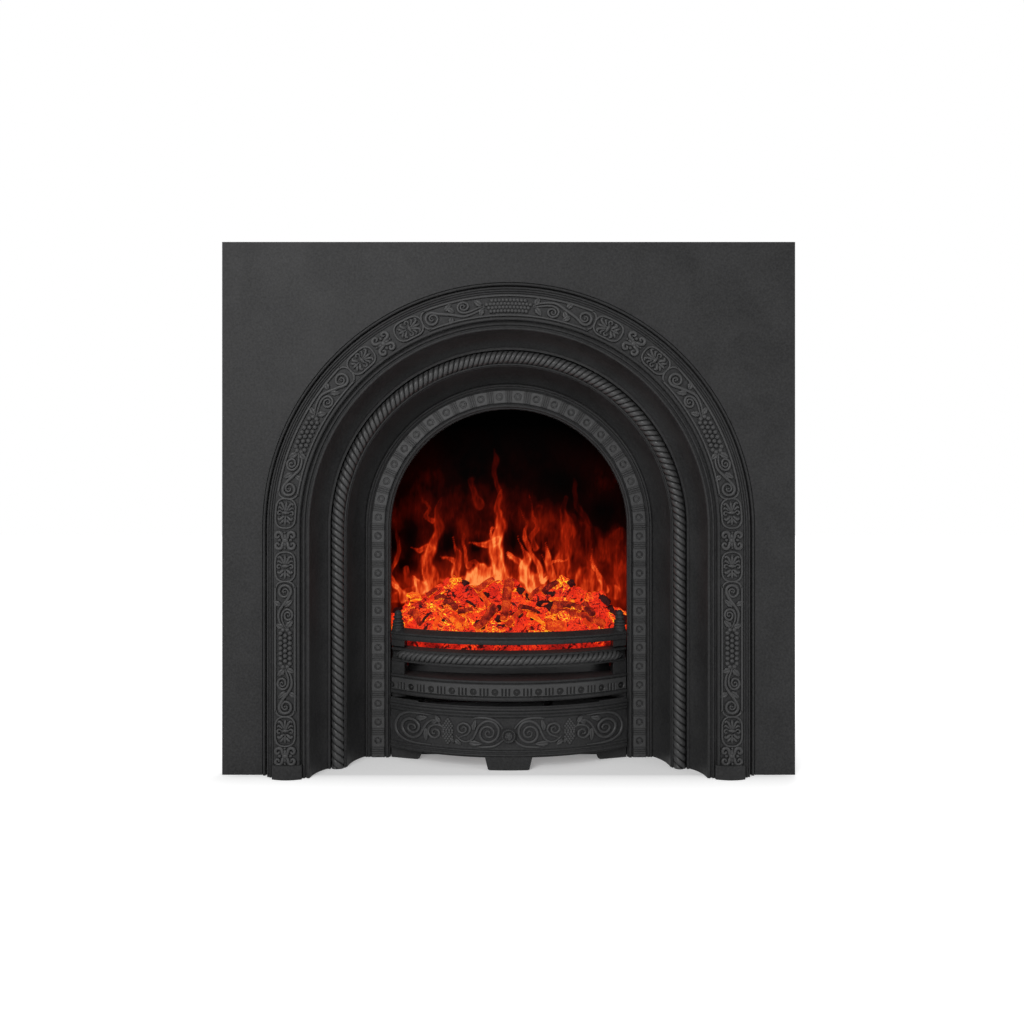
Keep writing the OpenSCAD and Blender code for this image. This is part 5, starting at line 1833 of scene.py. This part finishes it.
@dataclass
class FlamePicture:
    """The flames on the front of the smoked screen.

    A flame's rows are its place across, height, half width and heat in hundredths.
    """

    half: float = 224.0
    low: float = 153.0
    high: float = 639.0
    step: float = 1.6
    proud: float = 0.5
    back: float = 0.1
    far: float = 9.0
    glow_heights: tuple[float, ...] = (240, 300, 380, 450, 520, 575)
    glow_levels: tuple[float, ...] = (0.44, 0.38, 0.28, 0.18, 0.05, 0.0)
    hollows: Rows = (
        (-113, 362, 22, 28), (5, 368, 16, 30), (170, 420, 40, 36), (-178, 380, 22, 46),
        (-60, 356, 14, 14), (-190, 322, 12, 14), (96, 470, 60, 40))
    flames: tuple[Rows, ...] = (
        ((-15, 293, 18, 100), (-19, 315, 16, 98), (-23, 339, 14, 94), (-24, 360, 12, 84),
         (-20, 377, 10, 76), (-16, 391, 10, 71), (-15, 411, 8, 65), (-20, 426, 7, 62),
         (-17, 442, 6, 56), (-13, 458, 2, 46)),
        ((-15, 456, 5, 34), (-22, 476, 6, 30), (-25, 496, 6, 27), (-22, 516, 5, 21),
         (-25, 533, 2, 12)),
        ((-23, 366, 10, 88), (-39, 360, 7, 84), (-55, 360, 4, 78), (-70, 364, 1, 66)),
        ((-25, 368, 4, 78), (-33, 380, 3, 74), (-32, 389, 3, 68), (-23, 391, 1, 60)),
        ((-66, 293, 13, 92), (-54, 303, 18, 98), (-41, 309, 14, 94), (-55, 323, 7, 80),
         (-66, 332, 2, 60)),
        ((43, 271, 10, 100), (32, 295, 12, 104), (24, 317, 11, 100), (32, 337, 7, 88),
         (24, 354, 3, 74), (14, 375, 1, 52)),
        ((24, 323, 7, 88), (9, 332, 6, 80), (-3, 345, 1, 66)),
        ((22, 354, 3, 62), (32, 340, 3, 66), (40, 354, 2, 58), (32, 368, 1, 50)),
        ((61, 293, 6, 98), (54, 317, 7, 84), (44, 337, 5, 74), (34, 359, 3, 66), (27, 383, 4, 58),
         (32, 400, 2, 46), (16, 428, 1, 32)),
        ((49, 354, 5, 54), (41, 374, 6, 54), (49, 391, 5, 50), (43, 410, 4, 42), (41, 428, 2, 34),
         (39, 450, 2, 32)),
        ((81, 300, 9, 84), (75, 323, 8, 78), (70, 343, 5, 70), (64, 362, 1, 54)),
        ((58, 340, 1, 60), (71, 326, 3, 72), (87, 332, 3, 68), (101, 331, 2, 66),
         (107, 341, 1, 52)),
        ((62, 293, 5, 104), (71, 300, 4, 100)),
        ((96, 306, 13, 60), (98, 332, 13, 58), (103, 354, 13, 52), (107, 377, 13, 49),
         (103, 400, 11, 42), (99, 422, 7, 30), (104, 445, 5, 20)),
        ((141, 334, 6, 22), (144, 368, 7, 22), (141, 402, 7, 20), (127, 431, 6, 22),
         (119, 456, 4, 20), (116, 479, 2, 11)),
        ((206, 295, 17, 44), (200, 329, 20, 44), (183, 357, 17, 34), (200, 380, 11, 26)),
        ((174, 278, 7, 84), (167, 298, 5, 88), (158, 315, 3, 86), (150, 332, 3, 72),
         (150, 351, 1, 50)),
        ((129, 289, 23, 62), (141, 306, 17, 56), (155, 286, 17, 60)),
        ((-140, 283, 15, 74), (-143, 306, 15, 71), (-147, 329, 13, 68), (-141, 350, 10, 64),
         (-135, 368, 9, 57), (-129, 385, 8, 51), (-130, 405, 9, 45), (-128, 425, 7, 37),
         (-124, 444, 2, 26)),
        ((-151, 286, 3, 84), (-154, 312, 3, 80), (-152, 334, 2, 74), (-149, 351, 2, 68)),
        ((-143, 354, 9, 66), (-160, 351, 5, 62), (-180, 354, 1, 52)),
        ((-140, 402, 4, 52), (-151, 412, 4, 46), (-143, 428, 3, 38), (-157, 442, 3, 26),
         (-164, 465, 3, 14)),
        ((-97, 306, 11, 78), (-94, 326, 9, 78), (-92, 341, 6, 74), (-97, 354, 3, 66),
         (-100, 374, 1, 48)),
        ((-97, 329, 6, 74), (-112, 334, 4, 70), (-122, 339, 1, 58)),
        ((-70, 323, 7, 66), (-78, 343, 5, 64), (-83, 363, 3, 60), (-80, 377, 4, 50),
         (-85, 391, 2, 44), (-81, 414, 2, 26), (-89, 442, 1, 14)),
        ((-157, 281, 13, 80), (-168, 292, 6, 76), (-174, 303, 1, 74)),
        ((-205, 286, 7, 62), (-213, 306, 3, 60), (-207, 329, 5, 50), (-201, 351, 4, 42),
         (-204, 374, 3, 34), (-204, 402, 2, 22), (-205, 428, 1, 12)),
        ((-191, 263, 10, 92), (-199, 278, 6, 84), (-214, 295, 3, 74)),
        ((-182, 295, 9, 46), (-188, 317, 4, 48)),
        ((-54, 431, 9, 32), (-62, 453, 7, 32), (-66, 476, 7, 20)),
        ((-55, 391, 11, 22), (-66, 414, 9, 16)),
        ((61, 368, 26, 30), (75, 391, 23, 28), (58, 417, 17, 22)),
        ((161, 351, 26, 34), (144, 374, 20, 26), (92, 414, 17, 20)),
        ((-208, 263, 11, 56), (-140, 281, 17, 60), (-66, 289, 17, 64), (7, 286, 14, 76),
         (73, 295, 17, 66), (129, 286, 17, 60), (195, 272, 14, 56)))

    @staticmethod
    def cloud(x: np.ndarray, z: np.ndarray, scale: Point2, plane: float,
              *octaves: float) -> np.ndarray:
        """Returns noise at places on the screen.

        Args:
            x: Places across.
            z: Heights.
            scale: Its scale across and up.
            plane: Which plane of the noise it is.
            *octaves: A fractal's roughness, lacunarity and octaves; plain noise without them.

        Returns:
            One value for each place.
        """
        kind = noise.fractal if octaves else noise.noise
        return np.array([kind(Vector((a * scale[0], plane, b * scale[1])), *octaves)
                         for a, b in zip(x, z)])

    def haze(self, x: np.ndarray, z: np.ndarray) -> np.ndarray:
        """Paints the dark red glow behind the flames, with its black hollows.

        Args:
            x: Places across.
            z: Heights from the hearth.

        Returns:
            Heat from 0 to about 1.
        """
        cloud = self.cloud(x, z, (0.016, 0.011), 2.0, 0.7, 2.1, 4)
        level = np.interp(z, self.glow_heights, self.glow_levels)
        glow = level * np.clip(0.85 + 0.9 * cloud, 0.1, 1.7)
        for mid_x, mid_z, wide, tall in self.hollows:
            away = ((x - mid_x) / wide) ** 2 + ((z - mid_z) / tall) ** 2
            glow *= 1 - 0.9 * np.exp(-away)
        return glow

    def tongue(self, flame: Rows, x: np.ndarray, z: np.ndarray) -> np.ndarray:
        """Returns one flame's heat, with a brighter rim and a soft outline.

        Args:
            flame: Its rows.
            x: Places across, already warped.
            z: Heights, already warped.

        Returns:
            Heat from 0 to about 1.
        """
        path = smooth_path(np.array(flame) / (1, 1, 1, 100), 4.0)
        wide = np.maximum(1.12 * path[:, 2], 1.8)
        near, heat = np.full(len(x), self.far), np.zeros(len(x))
        reach = wide.max() * 3.5
        close = ((x > path[:, 0].min() - reach) & (x < path[:, 0].max() + reach)
                 & (z > path[:, 1].min() - reach) & (z < path[:, 1].max() + reach))
        spots = np.flatnonzero(close)
        for row, w in zip(path, wide):
            away = np.hypot(x[spots] - row[0], z[spots] - row[1]) / w
            better = away < near[spots]
            hit = spots[better]
            near[hit] = away[better]
            heat[hit] = row[3]
        rim = np.exp(-((near - 0.66) / 0.24) ** 2)
        fade = np.clip((1.38 - near) / 0.72, 0, 1) ** 1.15
        veil = 0.30 * np.exp(-(near / 2.0) ** 2)
        return heat * np.maximum((0.84 + 0.16 * rim) * fade, veil)

    def heat(self, x: np.ndarray, z: np.ndarray) -> np.ndarray:
        """Returns the flames' heat at places on the screen.

        Args:
            x: Places across.
            z: Heights from the hearth.

        Returns:
            Heat from 0 to about 1.
        """
        wave = self.cloud(x, z, (0.03, 0.02), 0.3)
        curl = self.cloud(x, z, (0.09, 0.05), 4.1)
        wisp = self.cloud(x, z, (0.10, 0.022), 9.0, 0.8, 2.2, 3)
        bent_x, bent_z = x + 5.0 * wave + 3.4 * curl, z + 4.0 * curl
        total = self.haze(x, z)
        for flame in self.flames:
            body = self.tongue(flame, bent_x, bent_z) * np.clip(0.92 + 0.5 * wisp, 0.45, 1.25)
            total = np.maximum(total, body) + 0.16 * np.minimum(total, body)
        edge = np.interp(np.abs(x), [0, 205, self.half], [1, 1, 0.75])
        edge *= np.where((np.abs(x) > 180) & (z < 228), 0.1, 1.0)
        streak = self.cloud(bent_x, z, (0.16, 0.035), 3.0, 0.7, 2.0, 3)
        return np.clip(total * edge * (0.94 + 0.16 * streak), 0, 1.0)

    def build(self) -> None:
        """Builds the picture as a thin closed sheet that carries the heat."""
        sheet, points, behind = Bench.slab("flames", int(2 * self.half / self.step),
                                           int((self.high - self.low) / self.step))
        x = points[:, 0] * self.half
        z = (self.low + self.high) / 2 + points[:, 1] * (self.high - self.low) / 2
        screen_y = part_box("flame_screen")[0].y / MM
        y = np.full(len(points), screen_y - self.proud)
        y[behind] = screen_y - self.back
        Bench.put_points(sheet, np.column_stack([x, y, z]) * MM)
        Bench.mark(sheet, FLAMES.attribute, self.heat(x, z))
        Bench.hand_over(Bench.join("flame_picture", [sheet]), FLAMES, slot=Slot.SCREEN)


@dataclass(frozen=True)
class NodeFinishes:
    """The finish of every CAD node, by its material slot in the record."""

    finishes: tuple[tuple[str, Finish], ...] = (
        ("cast_iron_black", IRON), ("steel_black", Painted("steel_paint")),
        ("steel_plated", Plated("steel_zinc")), ("plastic_black", BLACK_PLASTIC),
        ("coals_glowing", COALS), ("logs_charred", BARK), ("lamp_amber", LampDome("lamp_dome")),
        ("foil_bright", Plated("foil", colour=(0.86, 0.87, 0.88), roughness=0.14,
                               lines=(300, 300, 300))),
        ("board_green", Painted("board_green", colour=(0.015, 0.12, 0.045), roughness=0.3)),
        ("element_ceramic", Painted("element_ceramic", colour=(0.62, 0.59, 0.52),
                                    roughness=0.75, relief=0.0001)),
        ("screen_smoked", Painted("screen_glass", colour=(0.004, 0.002, 0.002), roughness=0.2,
                                  specular=0.1)))

    def build(self) -> None:
        """Puts the finishes on the nodes' material slots."""
        finishes = dict(self.finishes)
        for row in frame["record"]["subparts"]:
            node, finish = frame["nodes"][row["node"]], finishes[row["material_slot"]]
            if not node.material_slots:
                node.data.materials.append(None)
            for slot in node.material_slots:
                slot.material = finish.material()
            LOG.info("%s on %s", finish.name, row["node"])


@dataclass
class Studio:
    """The camera, the lamps, the white room and the floor."""

    camera_x: float = 0.0054
    camera_height: float = 0.4192
    camera_away: float = 1.5
    lens: float = 33.06
    sensor: float = 36
    world_light: float = 0.3
    floor_colour: Colour = (0.82, 0.82, 0.82)
    floor_size: float = 30
    floor_height: float = -0.0005
    # The next fields paint a contact shadow on the floor: its glow is dimmed round the insert's
    # outline and rises to white away from it, less steeply behind.
    painted_shadow_footprint: Point2 = (0.43, 0.135)
    painted_shadow_glow: float = 0.24
    far_glow: float = 1.0
    painted_shadow_reach: float = 0.4
    glow_rise: float = 0.43
    behind: float = 0.8
    aim: tuple[float, float, float] = (0, 0, 0.4)
    lamps: tuple[tuple[str, tuple[float, float, float], float, float], ...] = (
        ("key_lamp", (-1.0, -3.1, 1.6), 1.6, 76), ("fill_lamp", (2.4, -2.4, 1.0), 1.2, 14),
        ("back_lamp", (1.4, 2.9, 1.6), 1.4, 40))

    def place_camera(self) -> None:
        """Creates the camera at the photograph's place, level."""
        data = bpy.data.cameras.new("camera")
        data.lens, data.sensor_width = self.lens, self.sensor
        camera = bpy.data.objects.new("camera", data)
        camera.location = (self.camera_x, FACE * MM - self.camera_away, self.camera_height)
        camera.rotation_euler = (math.radians(90), 0, 0)
        bpy.context.collection.objects.link(camera)
        bpy.context.scene.camera = camera

    def white_world(self) -> None:
        """Makes a world that is white to look at and soft as a light."""
        world = bpy.data.worlds.new("room")
        bpy.context.scene.world = world
        nodes = Nodes(world)
        soft = nodes.add("Background", WHITE, self.world_light)
        white = nodes.add("Background", WHITE, 1.0)
        nodes.finish(nodes.add("MixShader", nodes.seen(), soft.outputs[0], white.outputs[0]),
                     "OutputWorld")

    def floor_finish(self) -> bpy.types.Material:
        """Builds a pale floor that is as white as the room away from the insert, with a painted
        shadow round the insert's outline on the floor.

        Returns:
            The finished material.
        """
        nodes = Nodes(bpy.data.materials.new("floor_white"))
        apart = nodes.add("SeparateXYZ", nodes.where()).outputs
        back = nodes.maths("MULTIPLY", nodes.maths("MAXIMUM", apart["Y"], 0.0), self.behind)
        deep = nodes.maths("ADD", nodes.maths("MINIMUM", apart["Y"], 0.0), back)
        past = [nodes.maths("POWER", nodes.maths("MAXIMUM", nodes.maths(
            "SUBTRACT", nodes.maths("ABSOLUTE", place, 0.0), size), 0.0), 2.0)
            for place, size in zip((apart["X"], deep), self.painted_shadow_footprint)]
        away = nodes.maths("SQRT", nodes.maths("ADD", *past), 0.0)
        rise = nodes.maths("POWER", nodes.span(away, 0.0, self.painted_shadow_reach, 0.0, 1.0),
                           self.glow_rise)
        # Painted shadow: the glow is lowest at the insert's outline and rises to white away from
        # it.
        glow_with_painted_shadow = nodes.span(rise, 0.0, 1.0, self.painted_shadow_glow, self.far_glow)
        diffuse = nodes.add("BsdfDiffuse", (*self.floor_colour, 1))
        glow = nodes.add("Emission", Strength=nodes.maths("MULTIPLY", nodes.seen(), glow_with_painted_shadow))
        return nodes.finish(nodes.add("AddShader", diffuse.outputs[0], glow.outputs[0]))

    def lay_floor(self) -> None:
        """Lays a pale floor that keeps the insert's cast shadow, with a painted shadow round the
        insert as well.
        """
        Bench.clear()
        bpy.ops.mesh.primitive_plane_add(size=self.floor_size, location=(0, 0, self.floor_height))
        floor = bpy.context.object
        floor.name = "floor"
        floor.data.materials.append(self.floor_finish())

    def lamp(self, name: str, place: Sequence[float], size: float, power: float) -> None:
        """Adds a soft square lamp that shines at the insert.

        Args:
            name: Its name.
            place: Where it hangs.
            size: The length of its side.
            power: Its power in watts.
        """
        data = bpy.data.lights.new(name, "AREA")
        data.size, data.energy = size, power
        lamp = bpy.data.objects.new(name, data)
        lamp.location = place
        lamp.rotation_mode = "QUATERNION"
        lamp.rotation_quaternion = (Vector(self.aim) - Vector(place)).to_track_quat("-Z", "Y")
        bpy.context.collection.objects.link(lamp)

    def build(self) -> None:
        """Builds the whole studio."""
        bpy.context.scene.view_settings.view_transform = "Standard"
        self.place_camera()
        self.white_world()
        self.lay_floor()
        for name, place, size, power in self.lamps:
            self.lamp(name, place, size, power)


def main() -> None:
    """Builds every piece in order."""
    logging.basicConfig(level=logging.INFO, format="%(name)s: %(message)s")
    for maker in (Studio, NodeFinishes, Ropes, ScrollBand, CoverOrnament, RailRelief, CircleBand,
                  CableSeal, FireBed, FlamePicture):
        maker().build()
    Bench.clear()


if __name__ == "__main__":
    main()
